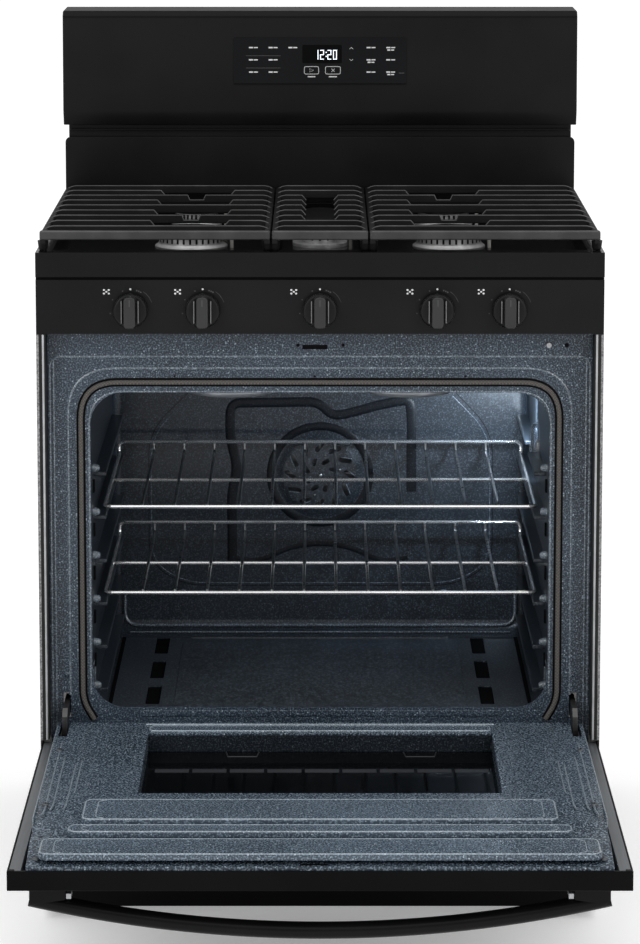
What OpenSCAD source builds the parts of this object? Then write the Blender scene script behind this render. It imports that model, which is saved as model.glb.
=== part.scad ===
// Freestanding gas range, 30 inch class, drawn with its oven door open.
// X runs to the right, Y to the back and Z up. The floor is Z = 0.

/* [Body] */
// Width over the side panels
range_w = 759; // [640:1:920]
// Depth of the body from the control panel's face to the wall
body_d = 650; // [645:1:800]
// Height of the cooktop's rim above the floor
cooktop_h = 914; // [880:1:1110]
// Height of the backguard above the cooktop's rim
backguard_h = 282; // [240:1:360]
// Gap under the body, set by the leveling legs
floor_gap = 18; // [15:1:30]
// Thickness of the sheet steel
sheet = 1.5; // [1:0.1:2]

/* [Control panel and knobs] */
// Height of the cooktop's front fascia
fascia_h = 33; // [24:1:45]
// Height of the control panel
panel_h = 73; // [60:1:100]
// Distance of the inner pair of knobs from the middle
knob_inner_x = 156.5; // [110:0.5:190]
// Distance of the outer pair of knobs from the middle
knob_outer_x = 253; // [210:0.5:300]
// Diameter of a knob's skirt
knob_d = 47; // [36:0.5:56]
// How far a knob pushes in
knob_push = 3; // [1:0.5:4]
// Radius of a valve's stem
stem_r = 3; // [2:0.1:5]

/* [Cooktop] */
// Height of the grates' top above the cooktop's rim
grate_rise = 27; // [20:1:40]
// Width of the middle grate
centre_grate_w = 131; // [110:1:160]
// Width of one grate bar
bar_w = 8; // [5:0.5:12]
// Height of one grate bar
bar_h = 12; // [8:0.5:18]
// Distance of the side burners from the middle
burner_x = 178; // [150:1:210]
// Radius of a front burner's head
burner_r = 50; // [35:1:60]

/* [Oven] */
// Space between the cavity's wall and the body's side
wall_gap = 67.5; // [64:0.5:90]
// Distance of the oven's frame behind the front plane
frame_y = 32; // [30:1:40]
// Depth of the cavity behind its frame
cavity_d = 524; // [480:1:530]
// Spacing of the rack levels
rack_pitch = 61; // [50:1:75]
// Depth of an oven rack
rack_d = 372; // [300:1:420]
// Radius of the racks' thick wire
rack_wire_r = 3.5; // [2.5:0.1:5]
// Radius of the convection fan
fan_r = 56; // [45:1:60]
// Radius of the fan's shaft
fan_shaft_r = 4; // [3:0.5:6]

/* [Door] */
// Thickness of the door from its face to the plug's top
door_t = 52; // [46:1:60]
// Radius of the hinge pins
hinge_pin_r = 4; // [3:0.5:5]
// Width of the window
window_w = 462; // [380:1:520]
// Length of the window
window_h = 281; // [200:1:300]
// Radius of the handle's bar
handle_r = 10.5; // [8:0.5:14]
// How far the handle's middle stands off the door
handle_reach = 65; // [50:1:80]

/* [Drawer] */
// Height of the storage drawer's front
drawer_h = 187; // [150:1:200]
// Depth of the storage drawer's tub
tub_d = 470; // [400:1:500]

/* [Hidden] */
$fn = 64;
run_gap = 0.05;                      // radial gap of a shaft that turns in its bore
slack = 0.3;                         // gap between parts that only meet
half_w = range_w / 2;
range_h = cooktop_h + backguard_h;

// Heights, from the floor up
drawer_top = floor_gap + drawer_h;
door_bottom = drawer_top + 12;       // closed door's lower edge
fascia_z = cooktop_h - fascia_h;
panel_top = fascia_z - 4;
panel_z = panel_top - panel_h;
door_top = panel_z - 4;              // closed door's upper edge

// Hinge axis and the open door's places
door_tail = 19.5;                    // length of door behind the hinge axis
flange_t = 24;                       // thickness of the door's rim
hinge_z = door_bottom + door_tail;
hinge_y = -flange_t / 2 + 6.5;
face_z = hinge_z - flange_t + 3.5;   // open door's outer face, turned down
rim_z = face_z + flange_t;           // top of the open door's rim
plug_z = face_z + door_t;            // top of the open door's plug
door_far = hinge_z - door_top + hinge_y;
door_near = hinge_y + door_tail;
door_x = half_w - 2;
glass_t = 4;
window_depth = 25;
rail_w = 15;
liner_x = door_x - 22.5;
plug_x = half_w - wall_gap - 4;
window_near = hinge_y - 44.5;
window_far = window_near - window_h;
trim_t = 5;
cap_len = 88;

// Cavity
cavity_x = half_w - wall_gap;
floor_z = hinge_z + 19.5;            // top of the oven's floor
burner_box_z = hinge_z - 20;
cavity_top = panel_z - 76;
cavity_y = frame_y + 4;
back_y = frame_y + cavity_d + 4;
mouth_x = cavity_x - 2;
mouth_z = [floor_z + 26, cavity_top - 9];
mouth_r = 45;
guide_reach = 18;
guide_z = floor_z + 34;
levels = [0, 1, 2, 3, 4, 5];
rack_x = cavity_x - 9.5;
rack_back_y = back_y - 43;
fan_z = (floor_z + cavity_top) / 2 + 8;
lamp_y = back_y - 270;
lamp_z = cavity_top - 132;
slot_pitch = 143;

// Fixed outline of the body
flange_w = 12;
frame_x = half_w - flange_w - slack;
rear_y = body_d - 3;
back_z = burner_box_z - 2;
arm_x = frame_x - 22;                // middle of the hinge arms
arm_t = 7;
arm_rise = hinge_z + 55.5;
arm_under = hinge_z + 33.5;
leg_x = half_w - 30;
leg_y = [60, body_d - 60];
pipe_x = half_w - 17.5;
pipe_r = 7;
manifold_y = 60;
knob_z = panel_z + 32.5;
knob_xs = [-knob_outer_x, -knob_inner_x, 0, knob_inner_x, knob_outer_x];
guard_y = body_d - 110;              // front of the backguard's console
splash_y = guard_y + 12;
console_z = cooktop_h + 114;
console_lean = 5;
glass_z = [cooktop_h + 176, cooktop_h + 244];
top_d = splash_y;                    // back edge of the cooktop
basin_z = cooktop_h - 19;
grate_top = cooktop_h + grate_rise;
grate_x = half_w - 5;
grate_split = centre_grate_w / 2;
bar_first = 72;
bar_last = guard_y - 12;
bar_count = 9;
bar_pitch = (bar_last - bar_first) / (bar_count - 1);
burner_front_y = bar_first + 2 * bar_pitch;
burner_back_y = bar_last - 2 * bar_pitch;
burner_mid_y = (burner_front_y + burner_back_y) / 2;
burners = [[-burner_x, burner_front_y, burner_r], [burner_x, burner_front_y, burner_r],
           [-burner_x, burner_back_y, burner_r - 14], [burner_x, burner_back_y, burner_r - 8]];
oval_half = 88;
oval_r = 24;
oval_dish_r = 38;
head_h = 22;
cap_h = 6;
mid_y = (body_d + door_far) / 2;     // middle of the overall depth

// ---- helpers: every span is [low, high] ----
module block(x, y, z) {
    translate([x[0], y[0], z[0]]) cube([x[1] - x[0], y[1] - y[0], z[1] - z[0]]);
}
module rod_x(r, x, y, z) {
    translate([x[0], y, z]) rotate([0, 90, 0]) cylinder(r = r, h = x[1] - x[0]);
}
module rod_y(r, x, y, z) {
    translate([x, y[0], z]) rotate([-90, 0, 0]) cylinder(r = r, h = y[1] - y[0]);
}
module rod_z(r, x, y, z) {
    translate([x, y, z[0]]) cylinder(r = r, h = z[1] - z[0]);
}
module both() {
    children();
    mirror([1, 0, 0]) children();
}
// A rounded rectangle in the sketch plane
module rounded(x, z, r) {
    translate([x[0] + r, z[0]]) square([x[1] - x[0] - 2 * r, z[1] - z[0]]);
    translate([x[0], z[0] + r]) square([x[1] - x[0], z[1] - z[0] - 2 * r]);
    for (cx = [x[0] + r, x[1] - r], cz = [z[0] + r, z[1] - r]) translate([cx, cz]) circle(r = r);
}
// A sketch of X and Z, given its depth along Y
module along_y(y) {
    translate([0, y[1], 0]) rotate([90, 0, 0]) linear_extrude(y[1] - y[0]) children();
}
// A sketch of Y and Z, given its length along X
module along_x(x) {
    translate([x[0], 0, 0]) rotate([90, 0, 90]) linear_extrude(x[1] - x[0]) children();
}
// A sketch of X and Y, given its height
module along_z(z) {
    translate([0, 0, z[0]]) linear_extrude(z[1] - z[0]) children();
}
// Everything is drawn from the front plane, then moved to the middle of the overall depth
module placed() {
    translate([0, -mid_y, 0]) children();
}

// ---- body ----
module side_wall() {
    along_z([floor_gap, panel_z - slack]) {
        translate([half_w - sheet, 0]) square([sheet, rear_y - sheet]);
        translate([half_w - flange_w, 0]) square([flange_w, sheet]);
        translate([half_w - flange_w, 0]) square([sheet, frame_y - slack]);
        translate([half_w - flange_w, rear_y - 2 * sheet]) square([flange_w, sheet]);
    }
    block([half_w - sheet, half_w], [4, rear_y - sheet], [panel_z - slack - 1, fascia_z - slack]);
}
// The front flange is notched where the door's tail swings
module side_panels() {
    color("#1b1b1b") placed() both() difference() {
        side_wall();
        block([half_w - flange_w - 1, half_w - sheet], [-1, frame_y], [drawer_top + 1, rim_z + 6]);
    }
}

rear_screw_z = [back_z + 30, (back_z + fascia_z) / 2, fascia_z - 30];
rear_screw_x = half_w - flange_w / 2;
power_x = -half_w + 130;
power_z = back_z + 80;
bush_r = 12;
cord_r = 6;
module rear_panel() {
    color("#9a9c9e") placed() difference() {
        block([-half_w + 2, half_w - 2], [rear_y - sheet, rear_y], [back_z, fascia_z - slack]);
        for (s = [-1, 1], z = rear_screw_z)
            rod_y(2, s * rear_screw_x, [rear_y - 3, rear_y + 1], z);
        rod_y(bush_r, power_x, [rear_y - 3, rear_y + 1], power_z);
        for (k = [0 : 9])
            block([-90, 90], [rear_y - 3, rear_y + 1],
                  [fascia_z - 70 - 14 * k, fascia_z - 65 - 14 * k]);
    }
}
module body_screws() {
    color("#b8bbbe") placed() for (s = [-1, 1], z = rear_screw_z) {
        rod_y(4, s * rear_screw_x, [rear_y, rear_y + 2], z);
        rod_y(1.95, s * rear_screw_x, [rear_y - sheet, rear_y + 0.5], z);
    }
}
module power_inlet() {
    color("#141414") placed() difference() {
        union() {
            rod_y(bush_r, power_x, [rear_y - 10, rear_y + 1], power_z);
            rod_y(bush_r + 3, power_x, [rear_y - 10, rear_y - sheet], power_z);
        }
        rod_y(cord_r, power_x, [rear_y - 11, rear_y + 2], power_z);
    }
}

base_h = 14;
base_x = half_w - sheet;
stud_r = 5;
module base_frame() {
    color("#4c4e50") placed() difference() {
        union() {
            both() block([base_x - 58, base_x], [frame_y + 4, rear_y - 5], [floor_gap, floor_gap + base_h]);
            block([-base_x, base_x], [frame_y + 4, frame_y + 24], [floor_gap, floor_gap + 6]);
            block([-base_x, base_x], [rear_y - 45, rear_y - 5], [floor_gap, floor_gap + base_h]);
        }
        for (s = [-1, 1], y = leg_y) rod_z(stud_r, s * leg_x, y, [0, floor_gap + base_h + 1]);
    }
}
module leveling_legs() {
    color("#202020") placed() for (s = [-1, 1], y = leg_y) {
        rod_z(18, s * leg_x, y, [0, 9]);
        rod_z(stud_r - run_gap, s * leg_x, y, [8, floor_gap + base_h + 3]);
    }
}

// ---- oven ----
frame_z = [drawer_top + 4, panel_z - slack];
switch_x = mouth_x - 2;
latch_z = panel_z - 23;
module front_frame() {
    color("#38424d") placed() difference() {
        along_y([frame_y, cavity_y]) difference() {
            translate([-frame_x, frame_z[0]]) square([2 * frame_x, frame_z[1] - frame_z[0]]);
            rounded([-mouth_x, mouth_x], mouth_z, mouth_r);
        }
        both() block([arm_x - 5, arm_x + 5], [frame_y - 1, cavity_y + 1], [arm_under - 2, arm_rise + 11]);
        block([-24, 10], [frame_y - 1, cavity_y + 1], [latch_z - 3, latch_z + 3]);
        rod_y(4, switch_x, [frame_y - 1, cavity_y + 1], latch_z + 3);
    }
}
module door_switch_plunger() {
    color("#d8dadc") placed() {
        rod_y(3.5, switch_x, [frame_y - 5, cavity_y + 14], latch_z + 3);
        rod_y(6, switch_x, [cavity_y + 8, cavity_y + 14], latch_z + 3);
    }
}
gasket_x = mouth_x + 9;
gasket_w = 8;
module gasket_loop(out) {
    rounded([-gasket_x - out, gasket_x + out],
            [floor_z - 20, mouth_z[1] + 10 + out], mouth_r + 3 + out);
}
module door_gasket() {
    color("#5a5550") placed() along_y([hinge_y + plug_z - hinge_z + 0.5, frame_y])
        difference() {
            gasket_loop(gasket_w);
            gasket_loop(0);
            translate([-half_w, 0]) square([range_w, plug_z + 2]);
        }
}
module cavity_sketch(grow) {
    rounded([-cavity_x - grow, cavity_x + grow],
            [burner_box_z - grow, cavity_top + grow], 24 + grow);
}
module oven_liner() {
    color("#2f3a46") placed() {
        difference() {
            along_y([cavity_y, back_y]) difference() {
                cavity_sketch(sheet);
                cavity_sketch(0);
            }
            rod_x(34, [cavity_x - 5, cavity_x + 5], lamp_y, lamp_z);
        }
        difference() {
            both() for (k = levels)
                block([cavity_x - guide_reach, cavity_x + sheet / 2], [cavity_y + 70, back_y - 20],
                      [guide_z + k * rack_pitch - 6, guide_z + k * rack_pitch]);
            rod_x(40, [cavity_x - guide_reach - 1, cavity_x + 5], lamp_y, lamp_z);
        }
        both() block([cavity_x - 12, cavity_x + sheet / 2], [cavity_y + 4, back_y - 1],
                     [floor_z - 9, floor_z - 3]);
    }
}
module oven_back() {
    color("#2a333d") placed() difference() {
        along_y([back_y, back_y + sheet]) cavity_sketch(sheet);
        rod_y(fan_r + 10, 0, [back_y - 1, back_y + sheet + 1], fan_z);
    }
}
floor_x = cavity_x - 14;
module oven_floor() {
    color("#323c47") placed() difference() {
        union() {
            block([-cavity_x + 1, cavity_x - 1], [cavity_y + 5, back_y - 1], [floor_z - 3, floor_z - 1]);
            block([-floor_x + 30, floor_x - 30], [cavity_y + 20, back_y - 20], [floor_z - 2, floor_z]);
        }
        for (s = [-1, 1], k = [0 : 2])
            block([s * (cavity_x - 77) - 10, s * (cavity_x - 77) + 10],
                  [cavity_y + 115 + k * slot_pitch, cavity_y + 215 + k * slot_pitch],
                  [floor_z - 4, floor_z + 1]);
    }
}
tube_z = (burner_box_z + floor_z) / 2;
bake_x = 150;
module bake_burner() {
    color("#77797b") placed() {
        both() rod_y(9, bake_x, [cavity_y + 130, back_y], tube_z);
        rod_x(9, [-bake_x, bake_x], cavity_y + 130, tube_z);
        both() translate([bake_x, cavity_y + 130, tube_z]) sphere(r = 9);
    }
}
broil_z = cavity_top - 26;
loop_x = 123;
loop_r = 60;
broil_y = cavity_y + 150;
module broil_burner() {
    color("#606264") placed() both() {
        for (s = [-1, 1]) rod_y(7, loop_x + s * loop_r, [broil_y, back_y], broil_z);
        translate([loop_x, broil_y, broil_z]) rotate([0, 0, 180])
            rotate_extrude(angle = 180) translate([loop_r, 0]) circle(r = 7);
        block([loop_x - 6, loop_x + 6], [broil_y + 20, broil_y + 32], [broil_z + 6, cavity_top]);
        block([loop_x - loop_r, loop_x + loop_r], [broil_y + 20, broil_y + 32],
              [broil_z + 5, broil_z + 8]);
    }
}
wool = 30;
module oven_insulation() {
    color("#d8c98a") placed() along_y([cavity_y + 120, back_y]) difference() {
        translate([-cavity_x - wool, burner_box_z - 4])
            square([2 * (cavity_x + wool), cavity_top + wool - burner_box_z + 4]);
        cavity_sketch(sheet + 0.2);
        translate([cavity_x - 1, lamp_z - 42]) square([wool + 2, 84]);
    }
}

// ---- convection fan and lamp ----
fan_y = back_y + 8;
motor_y = back_y + 44;
module fan_cover() {
    color("#20262c") placed() difference() {
        union() {
            rod_y(fan_r + 22, 0, [back_y - 5, back_y], fan_z);
            rod_y(fan_r + 12, 0, [back_y - 8, back_y - 4], fan_z);
        }
        rod_y(fan_r + 8, 0, [back_y - 5.5, back_y + 1], fan_z);
        for (k = [0 : 11]) translate([0, 0, fan_z]) rotate([0, 30 * k, 0])
            block([20, fan_r], [back_y - 10, back_y - 2], [-4, 4]);
    }
}
module convection_fan() {
    color("#8a8d90") placed() {
        rod_y(12, 0, [fan_y, fan_y + 22], fan_z);
        rod_y(fan_shaft_r, 0, [fan_y, motor_y + 15], fan_z);
        rod_y(fan_r - 4, 0, [fan_y + 20, fan_y + 22], fan_z);
        for (k = [0 : 7]) translate([0, 0, fan_z]) rotate([0, 45 * k, 0])
            block([10, fan_r], [fan_y + 2, fan_y + 21], [-0.8, 0.8]);
    }
}
module fan_motor() {
    color("#6f7274") placed() difference() {
        union() {
            rod_y(34, 0, [motor_y, motor_y + 30], fan_z);
            rod_y(11, 0, [motor_y - 5, motor_y + 1], fan_z);
            block([-60, 60], [motor_y + 30, motor_y + 32], [fan_z - 12, fan_z + 12]);
            both() block([58, 60], [back_y + sheet, motor_y + 32], [fan_z - 12, fan_z + 12]);
        }
        rod_y(fan_shaft_r + run_gap, 0, [motor_y - 6, motor_y + 18], fan_z);
    }
}
module oven_lamp() {
    color("#d9d9d2") placed() {
        rod_x(14, [cavity_x + 6, cavity_x + 34], lamp_y, lamp_z);
        rod_x(9, [cavity_x - 1, cavity_x + 7], lamp_y, lamp_z);
        translate([cavity_x - 1, lamp_y, lamp_z]) sphere(r = 9);
        rod_x(38, [cavity_x + 6, cavity_x + 8], lamp_y, lamp_z);
        difference() {
            rod_x(38, [cavity_x + sheet, cavity_x + 7], lamp_y, lamp_z);
            rod_x(34, [cavity_x, cavity_x + 8], lamp_y, lamp_z);
        }
    }
}
lens_t = 2;
module lamp_lens() {
    color("#dfe8f0") placed() difference() {
        rod_x(33.5, [cavity_x - 13, cavity_x + sheet], lamp_y, lamp_z);
        rod_x(33.5 - lens_t, [cavity_x - 13 + lens_t, cavity_x + sheet + 1], lamp_y, lamp_z);
    }
}

// ---- racks ----
long_wires = 12;
wire_r = 2.2;
bead_r = rack_wire_r + 0.4;            // weld at a corner
front_y = rack_back_y - rack_d;
module rack(level) {
    base = guide_z + level * rack_pitch + slack + bead_r;
    pitch = 2 * (rack_x - 56) / (long_wires - 1);
    both() rod_y(rack_wire_r, rack_x - rack_wire_r, [front_y, rack_back_y], base);
    for (y = [front_y, (front_y + rack_back_y) / 2, rack_back_y])
        rod_x(rack_wire_r, [-rack_x + rack_wire_r, rack_x - rack_wire_r], y, base);
    both() for (y = [front_y, rack_back_y])
        translate([rack_x - rack_wire_r, y, base]) sphere(r = bead_r);
    for (k = [0 : long_wires - 1])
        rod_y(wire_r, -rack_x + 56 + k * pitch, [front_y - 1, rack_back_y + 1],
              base + rack_wire_r + wire_r - 1);
    both() rod_z(rack_wire_r - 0.3, rack_x - 40, rack_back_y, [base, base + 20]);
    both() translate([rack_x - 40, rack_back_y, base + 20]) sphere(r = rack_wire_r);
    rod_x(rack_wire_r - 0.5, [-rack_x + 40, rack_x - 40], rack_back_y, base + 20);
}
module upper_rack() {
    color("#c9ccd0") placed() rack(4);
}
module lower_rack() {
    color("#c9ccd0") placed() rack(2);
}

// ---- hinges ----
module arm_sketch() {
    translate([hinge_y, hinge_z]) circle(r = 10);
    polygon([[hinge_y - 10, hinge_z], [hinge_y - 12.5, hinge_z + 45.5], [hinge_y - 2.5, arm_rise],
             [hinge_y + 75.5, arm_rise], [hinge_y + 75.5, arm_under],
             [hinge_y + 11.5, arm_under], [hinge_y + 10, hinge_z]]);
}
module hinge_arms() {
    color("#b0b3b6") placed() both() along_x([arm_x - arm_t / 2, arm_x + arm_t / 2]) difference() {
        arm_sketch();
        translate([hinge_y, hinge_z]) circle(r = hinge_pin_r + run_gap);
    }
}
cheek = arm_t / 2 + 0.5;
module door_hinge_channels() {
    color("#8c8f92") placed() both() {
        for (s = [-1, 1])
            block([arm_x + s * (cheek + 0.75) - 0.75, arm_x + s * (cheek + 0.75) + 0.75],
                  [hinge_y - 110, hinge_y + 13], [face_z + glass_t + 0.5, plug_z - 8]);
        block([arm_x - cheek - 1.5, arm_x + cheek + 1.5], [hinge_y - 110, hinge_y + 13],
              [face_z + glass_t, face_z + glass_t + 1.5]);
        rod_x(hinge_pin_r, [arm_x - cheek - 3, arm_x + cheek + 3], hinge_y, hinge_z);
    }
}

// ---- door, lying open ----
panel_far = door_far + trim_t;
module door_outer_panel() {
    color("#0a0a0a") placed()
        block([-door_x, door_x], [panel_far, door_near], [face_z, face_z + glass_t]);
}
module door_frame() {
    color("#7f8388") placed() both()
        block([door_x - rail_w - 1.8, door_x - 2], [panel_far, door_near - 4], [face_z + glass_t, rim_z]);
}
module door_top_trim() {
    color("#0c0c0c") placed() {
        block([-door_x, door_x], [door_far, panel_far], [face_z, rim_z + 0.5]);
        both() block([door_x - 1.8, door_x], [door_far, door_far + cap_len], [face_z + glass_t, rim_z + 0.5]);
    }
}
// Steps down to the far edge: distance from that edge, and drop below the plug
liner_steps = [[212, 0], [150, 6], [128, 6], [106, 12], [73, 12], [16, 22]];
// Side view of the pressed inner panel, or with d above 0 of the hollow inside it
module liner_profile(d) {
    polygon(concat([[panel_far + d, rim_z - 12], [door_near - 2 - d, rim_z - 12],
                    [door_near - 2 - d, rim_z + 8 - d], [hinge_y + 11.5 - d, plug_z - d]],
                   [for (q = liner_steps) [door_far + q[0], plug_z - q[1] - d]],
                   [[panel_far + d, plug_z - 23 - d]]));
}
glass_top = plug_z - window_depth;
module window_opening(grow, z) {
    block([-window_w / 2 - grow, window_w / 2 + grow], [window_far - grow, window_near + grow], z);
}
module door_liner() {
    color("#3a4652") placed() difference() {
        union() {
            difference() {
                along_x([-liner_x, liner_x]) liner_profile(0);
                translate([0, 0, -1]) along_x([-liner_x + sheet, liner_x - sheet]) liner_profile(sheet);
            }
            window_opening(sheet, [glass_top, plug_z]);
        }
        window_opening(0, [rim_z - 20, plug_z + 1]);
        both() block([arm_x - 6, arm_x + 6], [hinge_y - 58.5, hinge_y + 14], [rim_z - 20, plug_z + 1]);
        for (s = [-1, 1], y = screw_ys) rod_z(2.5, s * screw_x, y, [rim_z - 20, plug_z + 1]);
        block([-24, 10], [panel_far + 4, panel_far + 8], [rim_z - 20, plug_z]);
    }
}
module door_inner_glass() {
    color("#101214") placed()
        window_opening(10, [glass_top - glass_t, glass_top]);
}
module door_insulation() {
    color("#d8c98a") placed() difference() {
        block([-plug_x + 5, plug_x - 5], [panel_far + 30, hinge_y - 8], [face_z + glass_t, rim_z - 2]);
        window_opening(4, [face_z, plug_z]);
    }
}
// Screws that hold the inner panel, each seated on the panel's height there
screw_x = liner_x - 12;
screw_ys = [door_far + 90, door_far + 225, door_far + 435];
screw_drop = [12, 0, 0];
module door_screws() {
    color("#a9adb1") placed() for (s = [-1, 1], k = [0 : 2]) {
        rod_z(2.4, s * screw_x, screw_ys[k], [rim_z - 12, plug_z - screw_drop[k]]);
        rod_z(4.5, s * screw_x, screw_ys[k], [plug_z - screw_drop[k], plug_z - screw_drop[k] + 2]);
    }
}
handle_y = door_far + 49;
grip_x = door_x - 23;
post_w = 45;
bow = handle_reach - 24;
bow_r = (grip_x * grip_x + bow * bow) / (2 * bow);
bow_a = asin(grip_x / bow_r) - 0.5;
module door_handle() {
    color("#141414") placed() {
        translate([0, handle_y, face_z - handle_reach + bow_r]) rotate([90, 0, 0])
            rotate([0, 0, -90 - bow_a]) rotate_extrude(angle = 2 * bow_a)
                translate([bow_r, 0]) circle(r = handle_r);
        both() block([grip_x - post_w, grip_x], [handle_y - 11, handle_y + 11], [face_z - 27, face_z]);
    }
}

// ---- storage drawer ----
drawer_y = hinge_y + face_z - hinge_z + 4;
tub_x = half_w - 50;
tub_z = [floor_gap + base_h + 6, floor_gap + base_h + 118];
module drawer_front() {
    color("#0e0e0e") placed() difference() {
        block([-door_x, door_x], [drawer_y, -1], [floor_gap, drawer_top]);
        block([-door_x + 6, door_x - 6], [drawer_y + 3, 0], [floor_gap + 6, tub_z[0] - 6]);
        block([-door_x + 6, door_x - 6], [drawer_y + 3, -4], [tub_z[0] - 4, drawer_top - 6]);
    }
}
runner_z = tub_z[0] + 26;
module drawer_tub() {
    color("#5c5e60") placed() {
        difference() {
            block([-tub_x, tub_x], [-1, tub_d], tub_z);
            block([-tub_x + sheet, tub_x - sheet], [-1 + sheet, tub_d - sheet], [tub_z[0] + sheet, tub_z[1] + 1]);
        }
        both() block([tub_x - 0.5, tub_x + 14], [frame_y + 8, tub_d], [runner_z, runner_z + 2]);
    }
}
module drawer_glides() {
    color("#8b8e91") placed() both() {
        block([tub_x + 2, base_x], [frame_y + 6, tub_d + 60], [runner_z - 3, runner_z - slack]);
        block([tub_x + 2, tub_x + 4], [frame_y + 6, tub_d + 60], [floor_gap + base_h, runner_z - 2]);
    }
}

// ---- cooktop ----
module cooktop() {
    color("#0b0b0b") placed() difference() {
        block([-half_w, half_w], [-3, top_d], [fascia_z, cooktop_h]);
        block([-half_w + 22, half_w - 22], [24, top_d - 22], [basin_z, cooktop_h + 1]);
        block([-half_w + 2, half_w - 2], [-1, top_d - 2], [fascia_z - 1, basin_z - 2]);
        for (b = burners) rod_z(11, b[0], b[1], [basin_z - 3, basin_z + 1]);
        rod_z(11, 0, burner_mid_y, [basin_z - 3, basin_z + 1]);
    }
}
module oval(r, z) {
    for (s = [-1, 1]) rod_z(r, 0, burner_mid_y + s * oval_half, z);
    block([-r, r], [burner_mid_y - oval_half, burner_mid_y + oval_half], z);
}
module burner_heads() {
    color("#a3a6a8") placed() {
        for (b = burners) {
            rod_z(b[2], b[0], b[1], [basin_z, basin_z + 7]);
            rod_z(b[2] - 5, b[0], b[1], [basin_z + 6, basin_z + head_h]);
            rod_z(10.5, b[0], b[1], [basin_z - 14, basin_z + 1]);
        }
        oval(oval_dish_r, [basin_z, basin_z + 5]);
        oval(oval_r, [basin_z + 4, basin_z + head_h]);
        rod_z(10.5, 0, burner_mid_y, [basin_z - 14, basin_z + 1]);
    }
}
module burner_caps() {
    color("#1c1c1c") placed() {
        for (b = burners) rod_z(b[2] - 3, b[0], b[1], [basin_z + head_h, basin_z + head_h + cap_h]);
        oval(oval_r - 3, [basin_z + head_h, basin_z + head_h + cap_h]);
    }
}
module igniters() {
    color("#e6e2da") placed() {
        for (b = burners) rod_z(2.5, b[0] + b[2] + 6, b[1], [basin_z, basin_z + 18]);
        rod_z(2.5, oval_dish_r + 5, burner_mid_y, [basin_z, basin_z + 18]);
    }
}

// ---- grates ----
module cross_bar(x, y) {
    block(x, [y - bar_w / 2, y + bar_w / 2], [grate_top - bar_h, grate_top]);
}
module grate_frame(x) {
    block(x, [11, 11 + bar_w + 4], [grate_top - bar_h, grate_top]);
    for (s = [x[0], x[1] - bar_w])
        block([s, s + bar_w], [11, bar_last + bar_w / 2], [grate_top - bar_h - 4, grate_top - 4]);
    for (s = [x[0], x[1] - bar_w], y = [20, bar_last - bar_w])
        block([s, s + bar_w], [y, y + bar_w], [cooktop_h + slack, grate_top - bar_h]);
}
// Side grates: the even bars stop short of each burner, the odd ones run across
module side_grate() {
    x = [grate_split + 1, grate_x];
    gap = 48;
    grate_frame(x);
    for (k = [0 : bar_count - 1]) {
        y = bar_first + k * bar_pitch;
        if (k % 2 == 0) cross_bar(x, y);
        else {
            cross_bar([x[0], burner_x - gap], y);
            cross_bar([burner_x + gap, x[1]], y);
        }
    }
}
module grate_right() {
    color("#232323") placed() side_grate();
}
module grate_left() {
    color("#232323") placed() mirror([1, 0, 0]) side_grate();
}
module grate_centre() {
    x = [-grate_split + 1, grate_split - 1];
    color("#232323") placed() {
        grate_frame(x);
        for (k = [0 : bar_count - 1]) {
            y = bar_first + k * bar_pitch;
            if (k < 2 || k > bar_count - 3) cross_bar(x, y);
            else {
                cross_bar([x[0], -20], y);
                cross_bar([20, x[1]], y);
            }
        }
    }
}

// ---- gas train, control panel and knobs ----
module control_panel() {
    color("#141414") placed() difference() {
        union() {
            block([-half_w, half_w], [0, 2.5], [panel_z, panel_top]);
            block([-half_w + 3, half_w - 3], [0, frame_y - slack], [panel_z, panel_z + 2]);
            block([-half_w + 3, half_w - 3], [0, frame_y], [panel_top - 2, panel_top]);
        }
        for (x = knob_xs) rod_y(stem_r + 3, x, [-1, 4], knob_z);
    }
}
valve_y = 16;
module gas_manifold() {
    color("#c3b27a") placed() {
        rod_x(9, [-knob_outer_x - 30, pipe_x], manifold_y, knob_z);
        translate([pipe_x, manifold_y, knob_z]) sphere(r = 9);
        rod_y(pipe_r, pipe_x, [manifold_y, regulator_y], knob_z);
        translate([pipe_x, regulator_y, knob_z]) sphere(r = pipe_r);
        rod_z(pipe_r, pipe_x, regulator_y, [regulator_z, knob_z]);
        translate([pipe_x, regulator_y, regulator_z]) sphere(r = pipe_r);
        rod_x(pipe_r, [regulator_x + 18, pipe_x], regulator_y, regulator_z);
    }
}
module burner_valves() {
    color("#b9a56a") placed() for (x = knob_xs) difference() {
        union() {
            rod_y(10, x, [valve_y, manifold_y - 9], knob_z);
            block([x - 12, x + 12], [valve_y + 8, manifold_y - 12], [knob_z - 10, knob_z + 10]);
        }
        rod_y(stem_r + run_gap, x, [valve_y - 1, valve_y + 14 + knob_push + 2], knob_z);
    }
}
regulator_x = half_w - 80;
regulator_y = body_d - 50;
regulator_z = floor_gap + base_h + 90;
npt_r = 10.35;
module gas_inlet() {
    color("#a8abae") placed() {
        block([regulator_x - 20, regulator_x + 18], [regulator_y - 18, regulator_y + 18],
              [regulator_z - 16, regulator_z + 16]);
        rod_z(20, regulator_x, regulator_y, [regulator_z + 15, regulator_z + 26]);
        rod_y(npt_r, regulator_x, [regulator_y + 17, regulator_y + 40], regulator_z);
        block([regulator_x - 20, regulator_x + 18], [regulator_y - 3, regulator_y + 3],
              [floor_gap + base_h, regulator_z - 15]);
    }
}
stem_tip = -12;
module valve_stem(n) {
    color("#c9ccd0") placed() rod_y(stem_r, knob_xs[n], [stem_tip, valve_y + 14], knob_z);
}
skirt_y = -knob_push - 2;
grip_w = 15.5;
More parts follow.
